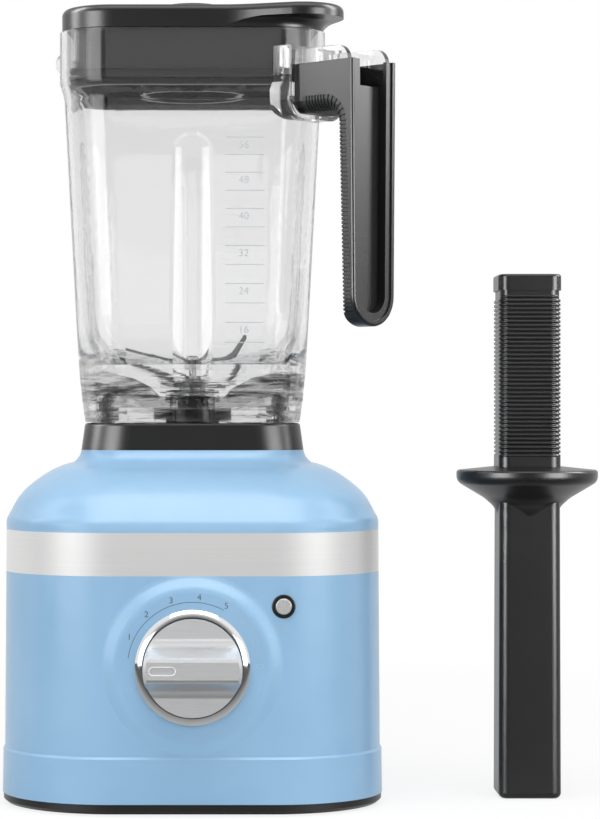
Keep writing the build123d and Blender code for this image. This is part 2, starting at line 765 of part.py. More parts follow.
def start_button():
    front = button_wall() - BUTTON_PROUD
    back = front + BUTTON_LENGTH
    cap = rod_back(BUTTON_RADIUS, front, back, BUTTON_X, BUTTON_Z)
    cap = fillet(cap.edges().group_by(Axis.Y)[0], BUTTON_DISH)
    return cap + rod_back(BUTTON_STOP_RADIUS, back - BUTTON_STOP, back, BUTTON_X, BUTTON_Z)


def start_button_ring():
    front = button_wall() - BUTTON_RING_PROUD
    ring = rod_back(BUTTON_RING_RADIUS, front, front + BUTTON_RING_LENGTH, BUTTON_X, BUTTON_Z)
    ring = fillet(ring.edges().group_by(Axis.Y)[0], BUTTON_DISH)
    return ring - rod_back(BUTTON_RING_INNER, front, front + BUTTON_RING_LENGTH, BUTTON_X, BUTTON_Z)


def button_switch():
    half = BUTTON_SWITCH_SIZE / 2
    return brick(
        (BUTTON_X - half, BOARD_FRONT - BUTTON_SWITCH_DEPTH, BUTTON_Z - half),
        (BUTTON_X + half, BOARD_FRONT, BUTTON_Z + half),
    )


def button_spring():
    """Return spring between the switch and the back of the button, as half turns of wire."""
    front = button_wall() - BUTTON_PROUD + BUTTON_LENGTH + SPRING_WIRE
    back = BOARD_FRONT - BUTTON_SWITCH_DEPTH - SPRING_WIRE
    halves = 2 * SPRING_TURNS
    step = (back - front) / halves

    def at(half_turns):
        turn = radians(180 * half_turns)
        return (SPRING_RADIUS * cos(turn), front + step * half_turns, SPRING_RADIUS * sin(turn))

    arcs = [ThreePointArc(at(n), at(n + 0.5), at(n + 1)) for n in range(halves)]
    path = Wire(arcs)
    wire = sweep(Plane(origin=at(0), z_dir=path % 0) * Circle(SPRING_WIRE), path=path)
    return Pos(BUTTON_X, 0, BUTTON_Z) * wire


def control_board():
    back = BOARD_FRONT + BOARD_THICKNESS
    board = brick((-BOARD_HALF_WIDTH, BOARD_FRONT, BOARD_LOW), (BOARD_HALF_WIDTH, back, BOARD_HIGH))
    for x in CAPACITOR_X:
        board += rod_back(CAPACITOR_RADIUS, back, back + CAPACITOR_HEIGHT, x, CAPACITOR_Z)
    width, depth, height = RELAY_SIZE
    relay_middle = (RELAY_X, back + depth / 2, RELAY_Z)
    board += Pos(*relay_middle) * Box(width, depth, height)
    for x, z in board_fixings():
        board -= rod_back(BOARD_SCREW_RADIUS + SCREW_GAP, BOARD_FRONT, back, x, z)
    return board


def board_screws():
    back = BOARD_FRONT + BOARD_THICKNESS
    screws = []
    for x, z in board_fixings():
        head = rod_back(BOARD_SCREW_HEAD_RADIUS, back, back + SCREW_HEAD, x, z)
        screws.append(head + rod_back(BOARD_SCREW_RADIUS, back - BOARD_SCREW_LENGTH, back, x, z))
    return group(screws)


def cord_gland():
    back = wall_half(GLAND_Z) + DEPTH_EXTRA + PRESS_GAP
    body = rod_back(GLAND_RADIUS, back - GLAND_BACK, back, 0, GLAND_Z)
    body += rod_back(GLAND_FLANGE_RADIUS, back, back + GLAND_FLANGE, 0, GLAND_Z)
    return body - rod_back(GLAND_BORE, back - GLAND_BACK, back + GLAND_FLANGE, 0, GLAND_Z)


def bracket_skirt(low, high):
    """Cylindrical skirt that clamps the stator, with four air windows."""
    skirt = tube(SKIRT_OUTER, SKIRT_INNER, low, high)
    half = WINDOW_WIDTH / 2
    for angle in (0, 90):
        window = brick(
            (-BRACKET_RADIUS, -half, low + WINDOW_MARGIN), (BRACKET_RADIUS, half, high - WINDOW_MARGIN)
        )
        skirt -= turned(window, angle)
    return skirt


def bolt_holes(low, high):
    return [turned(rod(BOLT_RADIUS + SCREW_GAP, low, high, BOLT_CIRCLE), angle) for angle in QUARTERS]


def lower_motor_bracket():
    top = LOWER_BRACKET_Z + BRACKET_PLATE
    shape = rod(BRACKET_RADIUS, LOWER_BRACKET_Z, top)
    shape += rod(BRACKET_HUB_RADIUS, top, top + BRACKET_HUB)
    shape += bracket_skirt(top, STACK_LOW)
    pocket_low = LOWER_BRACKET_Z + BEARING_LIP
    shape -= rod(BEARING_RADIUS + PRESS_GAP, pocket_low, top + BRACKET_HUB)
    shape -= rod(SHAFT_RADIUS + SHAFT_CLEARANCE, LOWER_BRACKET_Z, top)
    for hole in bolt_holes(LOWER_BRACKET_Z, top):
        shape -= hole
    return shape


def upper_motor_bracket():
    top = UPPER_BRACKET_Z + BRACKET_PLATE
    shape = rod(BRACKET_RADIUS, UPPER_BRACKET_Z, top)
    shape += rod(BRACKET_HUB_RADIUS, UPPER_BRACKET_Z - BRACKET_HUB, UPPER_BRACKET_Z)
    shape += bracket_skirt(STACK_HIGH, UPPER_BRACKET_Z)
    shape -= rod(BEARING_RADIUS + PRESS_GAP, UPPER_BRACKET_Z - BRACKET_HUB, top - BEARING_LIP)
    shape -= rod(SHAFT_RADIUS + SHAFT_CLEARANCE, UPPER_BRACKET_Z, top)
    for hole in bolt_holes(UPPER_BRACKET_Z, top):
        shape -= hole
    return shape


def ball_bearing(outer, inner, low, height):
    """A closed bearing, with a shallow recess around its shield on both faces."""
    ring = tube(outer, inner, low, low + height)
    third = (outer - inner) / 3
    depth = height * SHIELD_DEPTH_SHARE
    for z in (low, low + height - depth):
        ring -= tube(outer - third, inner + third, z, z + depth)
    return ring


def lower_motor_bearing():
    low = LOWER_BRACKET_Z + BEARING_LIP
    return ball_bearing(BEARING_RADIUS, SHAFT_RADIUS + RUNNING_GAP, low, BEARING_HEIGHT)


def upper_motor_bearing():
    low = UPPER_BRACKET_Z + BRACKET_PLATE - BEARING_LIP - BEARING_HEIGHT
    return ball_bearing(BEARING_RADIUS, SHAFT_RADIUS + RUNNING_GAP, low, BEARING_HEIGHT)


def stator_core():
    """Laminated ring with two poles, left and right of the armature."""
    core = tube(STATOR_RADIUS, STATOR_YOKE_INNER, STACK_LOW, STACK_HIGH)
    shoes = tube(POLE_SHOE_RADIUS, STATOR_BORE, STACK_LOW, STACK_HIGH)
    shoes &= brick((-STATOR_RADIUS, -POLE_SHOE_HALF, STACK_LOW), (STATOR_RADIUS, POLE_SHOE_HALF, STACK_HIGH))
    half = POLE_NECK_WIDTH / 2
    necks = brick((-STATOR_RADIUS + 1, -half, STACK_LOW), (STATOR_RADIUS - 1, half, STACK_HIGH))
    necks -= rod(POLE_SHOE_RADIUS - 1, STACK_LOW, STACK_HIGH)
    return core + shoes + necks


def field_windings():
    """One coil around each pole neck."""
    hole_half = POLE_NECK_WIDTH / 2 + COIL_GAP
    half = COIL_WIDTH / 2
    coil = brick((COIL_IN, -half, STACK_LOW - COIL_END), (COIL_OUT, half, STACK_HIGH + COIL_END))
    coil -= brick((COIL_IN, -hole_half, STACK_LOW - COIL_GAP), (COIL_OUT, hole_half, STACK_HIGH + COIL_GAP))
    return group([coil, turned(coil, 180)])


def brush_direction(shape):
    """Both brush sets, in front of and behind the commutator."""
    return group([turned(shape, 90), turned(shape, -90)])


def brush_middle():
    return (COMMUTATOR_LOW + COMMUTATOR_HIGH) / 2


def carbon_brushes():
    start = COMMUTATOR_RADIUS + BRUSH_GAP
    half, rise = BRUSH_WIDTH / 2, BRUSH_HEIGHT / 2
    z = brush_middle()
    return brush_direction(brick((start, -half, z - rise), (start + BRUSH_LENGTH, half, z + rise)))


def brush_holders():
    """Brass sleeves that reach out through the lower bracket's windows."""
    inner_half, inner_rise = BRUSH_WIDTH / 2 + SCREW_GAP, BRUSH_HEIGHT / 2 + SCREW_GAP
    half, rise = inner_half + HOLDER_WALL, inner_rise + HOLDER_WALL
    z = brush_middle()
    end = HOLDER_START + HOLDER_LENGTH
    sleeve = brick((HOLDER_START, -half, z - rise), (end, half, z + rise))
    back = end - HOLDER_WALL
    sleeve -= brick((HOLDER_START, -inner_half, z - inner_rise), (back, inner_half, z + inner_rise))
    return brush_direction(sleeve)


def motor_bolts():
    bolts = []
    low, high = LOWER_BRACKET_Z - BOLT_HEAD, UPPER_BRACKET_Z + BRACKET_PLATE
    for angle in QUARTERS:
        bolt = rod(BOLT_RADIUS, LOWER_BRACKET_Z, high, BOLT_CIRCLE)
        bolt += rod(BOLT_HEAD_RADIUS, high, high + BOLT_HEAD, BOLT_CIRCLE)
        bolt += rod(BOLT_HEAD_RADIUS, low, LOWER_BRACKET_Z, BOLT_CIRCLE)
        bolts.append(turned(bolt, angle))
    return group(bolts)


def motor_mounts():
    """Waisted rubber blocks between the foot plate's posts and the motor."""
    height = LOWER_BRACKET_Z - MOUNT_LOW
    mounts = []
    for angle in SIDES:
        mount = rod(MOUNT_RADIUS, MOUNT_LOW, LOWER_BRACKET_Z, MOUNT_CIRCLE)
        mount -= tube(
            MOUNT_RADIUS, MOUNT_WAIST, MOUNT_LOW + height / 3, LOWER_BRACKET_Z - height / 3, MOUNT_CIRCLE
        )
        mounts.append(turned(mount, angle))
    return group(mounts)


def motor_shaft():
    return rod(SHAFT_RADIUS, SHAFT_BOTTOM, COUPLER_HIGH - COUPLER_CAP - PRESS_GAP)


def slot_bars(width, inner, outer, low, high):
    """Radial bars, one for each armature slot."""
    bar = brick((inner, -width / 2, low), (outer, width / 2, high))
    return [turned(bar, index * 360 / ARMATURE_SLOTS) for index in range(ARMATURE_SLOTS)]


def armature_core():
    core = tube(ARMATURE_RADIUS, SHAFT_RADIUS + PRESS_GAP, STACK_LOW, STACK_HIGH)
    floor = ARMATURE_RADIUS - SLOT_DEPTH
    for slot in slot_bars(SLOT_WIDTH, floor, ARMATURE_RADIUS + 1, STACK_LOW, STACK_HIGH):
        core -= slot
    return core


def armature_winding():
    """Copper in the slots, joined by the end turns above and below the core."""
    gap = (SLOT_WIDTH - WINDING_WIDTH) / 2
    winding = tube(WINDING_OUTER, WINDING_INNER, STACK_HIGH + gap, STACK_HIGH + WINDING_END)
    winding += tube(WINDING_OUTER, WINDING_INNER, STACK_LOW - WINDING_END, STACK_LOW - gap)
    inner = ARMATURE_RADIUS - SLOT_DEPTH + gap
    low, high = STACK_LOW - WINDING_END, STACK_HIGH + WINDING_END
    for bar in slot_bars(WINDING_WIDTH, inner, WINDING_OUTER, low, high):
        winding += bar
    return winding


def commutator():
    shape = tube(COMMUTATOR_RADIUS, SHAFT_RADIUS + PRESS_GAP, COMMUTATOR_LOW, COMMUTATOR_HIGH)
    floor = COMMUTATOR_RADIUS - COMMUTATOR_GROOVE_DEPTH
    for groove in slot_bars(
        COMMUTATOR_GROOVE, floor, COMMUTATOR_RADIUS + 1, COMMUTATOR_LOW, COMMUTATOR_HIGH
    ):
        shape -= groove
    return shape


def cooling_fan():
    fan = rod(FAN_RADIUS, FAN_LOW, FAN_LOW + FAN_DISC) + rod(FAN_HUB_RADIUS, FAN_LOW, FAN_HIGH)
    middle = (FAN_BLADE_INNER + FAN_RADIUS) / 2
    half = (FAN_RADIUS - FAN_BLADE_INNER) / 2 - FAN_DISC
    blade = brick((-half, -FAN_BLADE_THICKNESS / 2, FAN_LOW), (half, FAN_BLADE_THICKNESS / 2, FAN_HIGH))
    blade = Pos(middle, 0, 0) * turned(blade, FAN_BLADE_TILT)
    for index in range(FAN_BLADES):
        fan += turned(blade, index * 360 / FAN_BLADES)
    return fan - rod(SHAFT_RADIUS + PRESS_GAP, FAN_LOW, FAN_HIGH)


def motor_shaft_seal():
    return tube(SEAL_RADIUS, SHAFT_RADIUS + SEAL_LIP, NECK_TOP - SEAL_HEIGHT, NECK_TOP)


def jar_seat_collar():
    """Black seat for the jar: a low rim around a recess, with a locating pin at each corner."""
    rim = loft([square(NECK_HALF, SEAT_CORNER, NECK_TOP), square(COLLAR_TOP_HALF, SEAT_CORNER, COLLAR_TOP)])
    rim = fillet(rim.edges().group_by(Axis.Z)[-1], COLLAR_EDGE)
    rim -= square_block(RECESS_HALF, RECESS_CORNER, RECESS_FLOOR, COLLAR_TOP)
    for x, y in corners(POST_CENTRE, POST_CENTRE):
        pin = rod(POST_PIN_RADIUS, RECESS_FLOOR, POST_TOP, x, y)
        rim += fillet(pin.edges().group_by(Axis.Z)[-1], COLLAR_EDGE)
    rim -= rod(COLLAR_HOLE_RADIUS, NECK_TOP, RECESS_FLOOR)
    for x, y in corners(COLLAR_SCREW_X, COLLAR_SCREW_X):
        rim -= rod(SCREW_RADIUS + SCREW_GAP, NECK_TOP, RECESS_FLOOR, x, y)
    return rim


def collar_screws():
    screws = []
    for x, y in corners(COLLAR_SCREW_X, COLLAR_SCREW_X):
        head = rod(SCREW_HEAD_RADIUS, RECESS_FLOOR, RECESS_FLOOR + SCREW_HEAD, x, y)
        screws.append(head + rod(SCREW_RADIUS, RECESS_FLOOR - SCREW_LENGTH / 2, RECESS_FLOOR, x, y))
    return group(screws)


def coupler_form(grow, low, high):
    """The lobed section that both halves of the drive coupling share."""
    form = rod(COUPLER_CORE_RADIUS + grow, low, high)
    lobe = rod(COUPLER_LOBE_RADIUS + grow, low, high, COUPLER_CORE_RADIUS)
    for index in range(COUPLER_LOBES):
        form += turned(lobe, index * 360 / COUPLER_LOBES)
    return form


def drive_coupler():
    bore_top = COUPLER_HIGH - COUPLER_CAP
    return coupler_form(0, COUPLER_LOW, COUPLER_HIGH) - rod(SHAFT_RADIUS + PRESS_GAP, COUPLER_LOW, bore_top)


def driven_coupler():
    cup = rod(DRIVEN_RADIUS, DRIVEN_LOW, DRIVEN_TOP)
    cup -= coupler_form(COUPLER_GAP, DRIVEN_LOW, SOCKET_TOP)
    return cup - rod(BLADE_SHAFT_RADIUS + PRESS_GAP, SOCKET_TOP, DRIVEN_TOP)


def jar_half(z):
    """Half the jar's outer width at height z on the tapered wall."""
    if z < JAR_BELLY:
        low, low_half, high, high_half = JAR_LOW, JAR_LOW_HALF, JAR_BELLY, JAR_BELLY_HALF
    else:
        low, low_half, high, high_half = JAR_BELLY, JAR_BELLY_HALF, JAR_SHOULDER, JAR_SHOULDER_HALF
    return low_half + (high_half - low_half) * (z - low) / (high - low)


def sections(low, high, shares, inset):
    """Outlines from low to high, both (half width, corner, height), at shares of the rise and the spread."""
    outlines = []
    for rise, spread in shares:
        half = low[0] + (high[0] - low[0]) * spread
        corner = low[1] + (high[1] - low[1]) * spread
        outlines.append(square(half - inset, corner - inset, low[2] + (high[2] - low[2]) * rise))
    return outlines


def jar_upper(inset, lowest):
    """Wall from its lowest section, soft step and straight rim, drawn in by inset."""
    belly = (JAR_BELLY_HALF, JAR_BELLY_CORNER, JAR_BELLY)
    shoulder = (JAR_SHOULDER_HALF, JAR_SHOULDER_CORNER, JAR_SHOULDER)
    rim_foot = (JAR_RIM_HALF, JAR_RIM_CORNER, JAR_RIM_LOW)
    wall = loft([lowest] + sections(belly, shoulder, JAR_WALL_SHARES, inset))
    step = loft(sections(shoulder, rim_foot, JAR_STEP_SHARES, inset))
    rim = square_block(JAR_RIM_HALF - inset, JAR_RIM_CORNER - inset, JAR_RIM_LOW, JAR_RIM)
    return wall + step + rim


def jar_outside():
    foot = square_block(JAR_FOOT_HALF, JAR_FOOT_CORNER, JAR_FOOT, JAR_FOOT_STEP)
    return jar_upper(0, square(JAR_LOW_HALF, JAR_LOW_CORNER, JAR_LOW)) + foot


def ramp(slope, low, sink):
    """Ground that rises along +X above the level low, slope giving its points as (distance, rise)."""
    points = [(distance, low + rise) for distance, rise in slope]
    foot = points[0][0] - SLOPE_ROUND
    reach = points[-1][0]
    surface = FilletPolyline((foot, low), *points, radius=SLOPE_ROUND)
    rest = Polyline(points[-1], (reach, low - sink), (foot, low - sink), (foot, low))
    return extrude(Plane.XZ * make_face([surface, rest]), 2 * reach, both=True)


def mounds(slope, low):
    """The four corner mounds between two crossing valleys."""
    mound = ramp(slope, low, MOUND_SINK) & turned(ramp(slope, low, 2 * MOUND_SINK), SIDES[1])
    return [turned(mound, angle) for angle in SIDES]


def jar_inside():
    """Bowl with crossing valleys, tapered wall and straight mouth."""
    bowl = square_block(BOWL_HALF, BOWL_CORNER, BOWL_FLOOR, BOWL_TOP)
    for mound in mounds(BOWL_SLOPE, BOWL_FLOOR):
        bowl -= mound
    return bowl + jar_upper(JAR_WALL, square(BOWL_HALF, BOWL_CORNER, BOWL_TOP))


def jar_underside():
    """The hollow below the bowl, which goes over the drive coupling and the seat's pins."""
    floor_low = BOWL_FLOOR - FLOOR_THICKNESS
    hollow = square_block(JAR_CAVITY_HALF, JAR_CAVITY_CORNER, JAR_FOOT, JAR_FOOT_STEP)
    hollow += square_block(JAR_SKIRT_HALF, JAR_SKIRT_CORNER, JAR_FOOT_STEP, floor_low)
    dish = square_block(JAR_SKIRT_HALF, JAR_SKIRT_CORNER, floor_low, BOWL_FLOOR + FLOOR_THICKNESS)
    for mound in mounds(FLOOR_SLOPE, floor_low):
        hollow += dish & mound
    for x, y in corners(POST_CENTRE, POST_CENTRE):
        hollow += rod(POST_POCKET_RADIUS, JAR_FOOT, POST_POCKET_TOP, x, y)
    return hollow


def rib_line(radius, stand):
    """A round-ended upright bar that leans with the front wall, its axis stand inside the wall's face."""
    low = Vector(0, -jar_half(RIB_LOW) + stand, RIB_LOW)
    high = Vector(0, -jar_half(RIB_TOP) + stand, RIB_TOP)
    length = (high - low).length
    bar = Plane(origin=low, z_dir=high - low) * Cylinder(radius, length, align=LOW_AT)
    return bar + Pos(*high) * Sphere(radius) + Pos(*low) * Sphere(radius)


def spout(inset):
    """Round pouring lip on the corner opposite the handle, drawn in by inset except at the top."""
    lip = rod(SPOUT_RADIUS - inset, SPOUT_LOW + inset, SPOUT_LIP, SPOUT_CENTRE)
    rims = lip.edges().group_by(Axis.Z)
    lip = fillet(rims[0] if inset else rims[0] + rims[-1], SPOUT_ROUND - inset)
    return turned(lip, HANDLE_ANGLE + 180)


def handle_frame(shape):
    """Moves a shape drawn with the handle along +X to its corner."""
    return turned(shape, HANDLE_ANGLE)


def arm_frame():
    """Clear rim around the root of the handle's arm, and the solid it is screwed to."""
    def round_below(half, low, inner, rounding):
        shape = brick((inner, -half, low), (FRAME_OUT, half, FRAME_TOP))
        return fillet(shape.edges().filter_by(Axis.X).group_by(Axis.Z)[0], rounding)

    outer = round_below(FRAME_HALF_WIDTH, FRAME_LOW, FRAME_IN, FRAME_ROUND)
    wall = FRAME_WALL
    return outer - round_below(FRAME_HALF_WIDTH - wall, FRAME_LOW + wall, HANDLE_ROOT, FRAME_ROUND - wall)


def bracket_plates(gap):
    """The two clear plates that stand in the handle's arm."""
    plates = []
    for side in (1, -1):
        near = BRACKET_OFFSET - gap
        far = BRACKET_OFFSET + BRACKET_THICKNESS + gap
        plate = brick(
            (BRACKET_IN, min(side * near, side * far), BRACKET_LOW - gap),
            (BRACKET_OUT + gap, max(side * near, side * far), BRACKET_TOP),
        )
        outer_top = plate.edges().filter_by(Axis.Y).group_by(Axis.X)[-1].sort_by(Axis.Z)[-1]
        plates.append(fillet(outer_top, BRACKET_ROUND))
    return plates


def jar():
    outside = jar_outside() + spout(0)
    outside += handle_frame(arm_frame())
    for plate in bracket_plates(0):
        outside += handle_frame(plate)
    inside = jar_inside()
    for angle in SIDES:
        inside -= turned(rib_line(RIB_RADIUS, RIB_STAND), angle)
    shape = outside - inside - jar_underside()
    shape -= spout(SPOUT_WALL)
    shape -= square_block(LID_HALF + SPOUT_LID_GAP, LID_CORNER + SPOUT_LID_GAP, JAR_RIM, SPOUT_LIP)
    for angle in SIDES:
        shape -= turned(rib_line(RIB_GROOVE_RADIUS, RIB_STAND), angle)
    shape -= rod(FLOOR_HOLE_RADIUS, JAR_FOOT, BOWL_FLOOR + FLOOR_THICKNESS)
    hole = rod_out(HANDLE_SCREW_RADIUS + SCREW_GAP, HANDLE_SCREW_IN - SCREW_GAP, FRAME_OUT, HANDLE_SCREW_Z)
    return shape - handle_frame(hole)


def handle_side(inset):
    """Side view of the handle: an arm, and a grip hanging from its outer end."""
    inner_corner = (HANDLE_IN + inset, HANDLE_ARM_LOW + inset)
    outline = Polyline(
        (HANDLE_ROOT, HANDLE_TOP),
        (HANDLE_OUT, HANDLE_TOP),
        (HANDLE_OUT, HANDLE_TIP),
        (HANDLE_TIP_IN + inset, HANDLE_TIP),
        inner_corner,
        (HANDLE_ROOT, HANDLE_ARM_LOW + inset),
        close=True,
    )
    side = make_face(outline)
    return fillet(side.vertices().sort_by_distance(inner_corner)[0], HANDLE_BEND + inset)


def across_handle(face, half_width):
    """Extrudes a side view to both sides of the handle's middle plane."""
    middle = Plane(origin=(0, 0, 0), x_dir=(1, 0, 0), z_dir=(0, -1, 0))
    return extrude(middle * face, half_width, both=True)


def handle_strip(half_width):
    """The handle seen from outside, as a solid along X: a tapered strip with a round lower end."""
    tip_half = half_width - HANDLE_HALF_WIDTH + HANDLE_TIP_HALF_WIDTH
    turn = HANDLE_TIP + HANDLE_TIP_HALF_WIDTH
    outline = [
        Polyline((-tip_half, turn), (-half_width, HANDLE_TOP), (half_width, HANDLE_TOP), (tip_half, turn)),
        ThreePointArc((tip_half, turn), (0, turn - tip_half), (-tip_half, turn)),
    ]
    outward = Plane(origin=(0, 0, 0), x_dir=(0, 1, 0), z_dir=(1, 0, 0))
    return extrude(outward * make_face(outline), 2 * HANDLE_OUT)


def towards_hand(edge):
    """True for the edges along the arm's underside, the bend and the grip's inner face."""
    middle = edge.center()
    along = HANDLE_ROOT + HANDLE_EDGE < middle.X < HANDLE_OUT - HANDLE_EDGE
    return along and HANDLE_TIP + HANDLE_EDGE < middle.Z < HANDLE_TOP - HANDLE_EDGE


def handle_form(inset):
    """The whole handle, rounded towards the hand and drawn in by inset there."""
    half = HANDLE_HALF_WIDTH - inset
    body = across_handle(handle_side(inset), half)
    hand_edges = []
    for side in body.faces().filter_by(Axis.Y):
        hand_edges += [edge for edge in side.edges() if towards_hand(edge)]
    return fillet(hand_edges, HANDLE_ROUND - inset) & handle_strip(half)


def grip_band(grow):
    """What lies within the grip's width of the handle's inner side."""
    reach = 2 * HANDLE_HALF_WIDTH
    band = across_handle(handle_side(0), reach) - across_handle(handle_side(GRIP_WIDTH + grow), reach)
    start, low = GRIP_START - grow, GRIP_LOW - grow
    return band & brick((start, -reach, low), (HANDLE_OUT, reach, HANDLE_TOP))


def handle_shell():
    shell = handle_form(0)
    rim = shell.faces().sort_by(Axis.X)[-1].edges()
    shell = fillet([edge for edge in rim if edge.center().Z < HANDLE_TOP - HANDLE_EDGE], HANDLE_EDGE)
    for half, depth in ((HANDLE_HALF_WIDTH - RIM_WIDTH, RIM_DEPTH), (CHANNEL_HALF_WIDTH, CHANNEL_DEPTH)):
        outer = brick((HANDLE_OUT - depth, -half, HANDLE_TIP), (HANDLE_OUT, half, HANDLE_TOP))
        shell -= outer & handle_strip(half)
    shell -= brick((POCKET_IN, -BRACKET_OFFSET, POCKET_LOW), (POCKET_OUT, BRACKET_OFFSET, HANDLE_TOP))
    shell -= grip_band(GRIP_GAP) - handle_form(GRIP_THICKNESS + GRIP_GAP)
    for plate in bracket_plates(BRACKET_GAP):
        shell -= plate
    shell -= rod_out(HANDLE_SCREW_RADIUS + SCREW_GAP, HANDLE_ROOT, HANDLE_SCREW_OUT, HANDLE_SCREW_Z)
    return handle_frame(shell)


def grip_grooves():
    """Slits across the grip: level on the upright, fanned round the bend and upright under the arm."""
    reach = 2 * HANDLE_HALF_WIDTH
    centre_x, centre_z = HANDLE_IN - HANDLE_BEND, HANDLE_ARM_LOW - HANDLE_BEND
    slit = Pos(reach / 2, 0, 0) * Box(reach, 2 * reach, GRIP_GROOVE)
    slits = []
    for index in range(int((centre_z - GRIP_LOW) / GRIP_PITCH)):
        slits.append(Pos(centre_x, 0, centre_z - index * GRIP_PITCH) * slit)
    for index in range(1, GRIP_BEND_GROOVES):
        turn = 90 * index / GRIP_BEND_GROOVES
        slits.append(Pos(centre_x, 0, centre_z) * Rot(0, -turn, 0) * slit)
    for index in range(int((centre_x - GRIP_START) / GRIP_PITCH)):
        slits.append(Pos(centre_x - index * GRIP_PITCH, 0, centre_z) * Rot(0, -90, 0) * slit)
    return slits


def handle_grip():
    """Soft grip that wraps the handle's inner side, with fine ribs across it."""
    grip = (handle_form(0) - handle_form(GRIP_THICKNESS)) & grip_band(0)
    core = handle_form(GRIP_GROOVE_DEPTH)
    for slit in grip_grooves():
        grip -= slit - core
    return handle_frame(grip)


def handle_screw():
    screw = rod_out(HANDLE_SCREW_RADIUS, HANDLE_SCREW_IN, HANDLE_SCREW_OUT, HANDLE_SCREW_Z)
    screw += rod_out(
        HANDLE_SCREW_HEAD_RADIUS, HANDLE_SCREW_OUT, HANDLE_SCREW_OUT + HANDLE_SCREW_HEAD, HANDLE_SCREW_Z
    )
    return handle_frame(screw)


def jar_floor_gasket():
    return tube(HOUSING_FLANGE_RADIUS, FLOOR_HOLE_RADIUS, BOWL_FLOOR, BOWL_FLOOR + GASKET_THICKNESS)


def blade_bearing_housing():
    """Flanged sleeve through the jar's floor that holds the blade bearings."""
    flange_low = BOWL_FLOOR + GASKET_THICKNESS
    sleeve = rod(HOUSING_FLANGE_RADIUS, flange_low, flange_low + HOUSING_FLANGE)
    sleeve += rod(HOUSING_DOME_RADIUS, flange_low, HOUSING_TOP)
    sleeve += rod(HOUSING_RADIUS, HOUSING_BOTTOM, flange_low)
    return sleeve - rod(BLADE_BEARING_RADIUS + PRESS_GAP, HOUSING_BOTTOM, HOUSING_TOP)


def blade_bearings():
    inner = BLADE_SHAFT_RADIUS + RUNNING_GAP
    lower = ball_bearing(BLADE_BEARING_RADIUS, inner, BLADE_BEARING_LOW, BLADE_BEARING_HEIGHT)
    upper_low = BLADE_BEARING_LOW + BLADE_BEARING_HEIGHT + PRESS_GAP
    upper = ball_bearing(BLADE_BEARING_RADIUS, inner, upper_low, BLADE_BEARING_HEIGHT)
    return group([lower, upper])


def blade_shaft_seal():
    low = BLADE_BEARING_LOW + 2 * BLADE_BEARING_HEIGHT + 2 * PRESS_GAP
    return tube(BLADE_BEARING_RADIUS, BLADE_SHAFT_RADIUS + BLADE_SEAL_GAP, low, HOUSING_TOP)


def bearing_retainer_nut():
    """Ring nut under the floor that clamps the bearing housing."""
    top = BOWL_FLOOR - FLOOR_THICKNESS
    nut = tube(RETAINER_RADIUS, HOUSING_RADIUS + PRESS_GAP, HOUSING_BOTTOM, top)
    nut += tube(RETAINER_RADIUS, RETAINER_INNER, RETAINER_LOW, HOUSING_BOTTOM)
    notch = rod(SCREW_RADIUS, RETAINER_LOW, HOUSING_BOTTOM, RETAINER_RADIUS)
    for index in range(RETAINER_NOTCHES):
        nut -= turned(notch, index * 360 / RETAINER_NOTCHES)
    return nut


def blade_shaft():
    shaft = rod(BLADE_SHAFT_RADIUS, BLADE_SHAFT_BOTTOM, BLADE_SHOULDER)
    return shaft + rod(BLADE_STUD_RADIUS, BLADE_SHOULDER, BLADE_STUD_TOP)


def blade_spacer():
    top = BLADE_SHOULDER + SPACER_THICKNESS
    return tube(SPACER_RADIUS, BLADE_STUD_RADIUS + PRESS_GAP, BLADE_SHOULDER, top)


def blade_plan(left, right):
    """Plan of a two-armed blade: a round middle and two arms that taper to blunt points."""
    arms = Polygon(
        (left, -BLADE_TIP_HALF),
        (-BLADE_HUB_RADIUS, -BLADE_ROOT_HALF),
        (BLADE_HUB_RADIUS, -BLADE_ROOT_HALF),
        (right, -BLADE_TIP_HALF),
        (right, BLADE_TIP_HALF),
        (BLADE_HUB_RADIUS, BLADE_ROOT_HALF),
        (-BLADE_HUB_RADIUS, BLADE_ROOT_HALF),
        (left, BLADE_TIP_HALF),
        align=None,
    )
    return arms + Circle(BLADE_HUB_RADIUS)


def bent_blade(line, left, right, low):
    """A strip bent along a side view line, cut to the plan, with the hole for the stud."""
    strip = trace(line, BLADE_THICKNESS)
    side = Plane(origin=(0, 0, low + BLADE_THICKNESS / 2), x_dir=(1, 0, 0), z_dir=(0, -1, 0))
    sheet = extrude(side * strip, BLADE_HUB_RADIUS, both=True)
    plan = extrude(Pos(0, 0, low - BLADE_PLAN_LIMIT) * blade_plan(left, right), 2 * BLADE_PLAN_LIMIT)
    hole = rod(BLADE_STUD_RADIUS + PRESS_GAP, low - BLADE_THICKNESS, low + 2 * BLADE_THICKNESS)
    return (sheet & plan) - hole


def upper_blade():
    """Long blade: the left arm slants up, the right arm sweeps steeply upward."""
    low = BLADE_SHOULDER + SPACER_THICKNESS + BLADE_THICKNESS
    root = BLADE_HUB_RADIUS - ROOT_BEND / 2
    points = (LEFT_TIP, (-root, 0), (root, 0), RIGHT_KNEE, RIGHT_TIP)
    line = FilletPolyline(*points, radius=[ROOT_BEND, ROOT_BEND, RIGHT_BEND])
    return turned(bent_blade(line, LEFT_TIP[0], RIGHT_TIP[0], low), UPPER_BLADE_ANGLE)


def lower_blade():
    """Short blade: one arm almost level, the other bent down."""
    low = BLADE_SHOULDER + SPACER_THICKNESS
    line = Polyline((-LOWER_TIP, LOWER_RISE), (-LOWER_KNEE, 0), (LOWER_KNEE, 0), (LOWER_TIP, LOWER_DROP))
    return turned(bent_blade(line, -LOWER_TIP, LOWER_TIP, low), LOWER_BLADE_ANGLE)


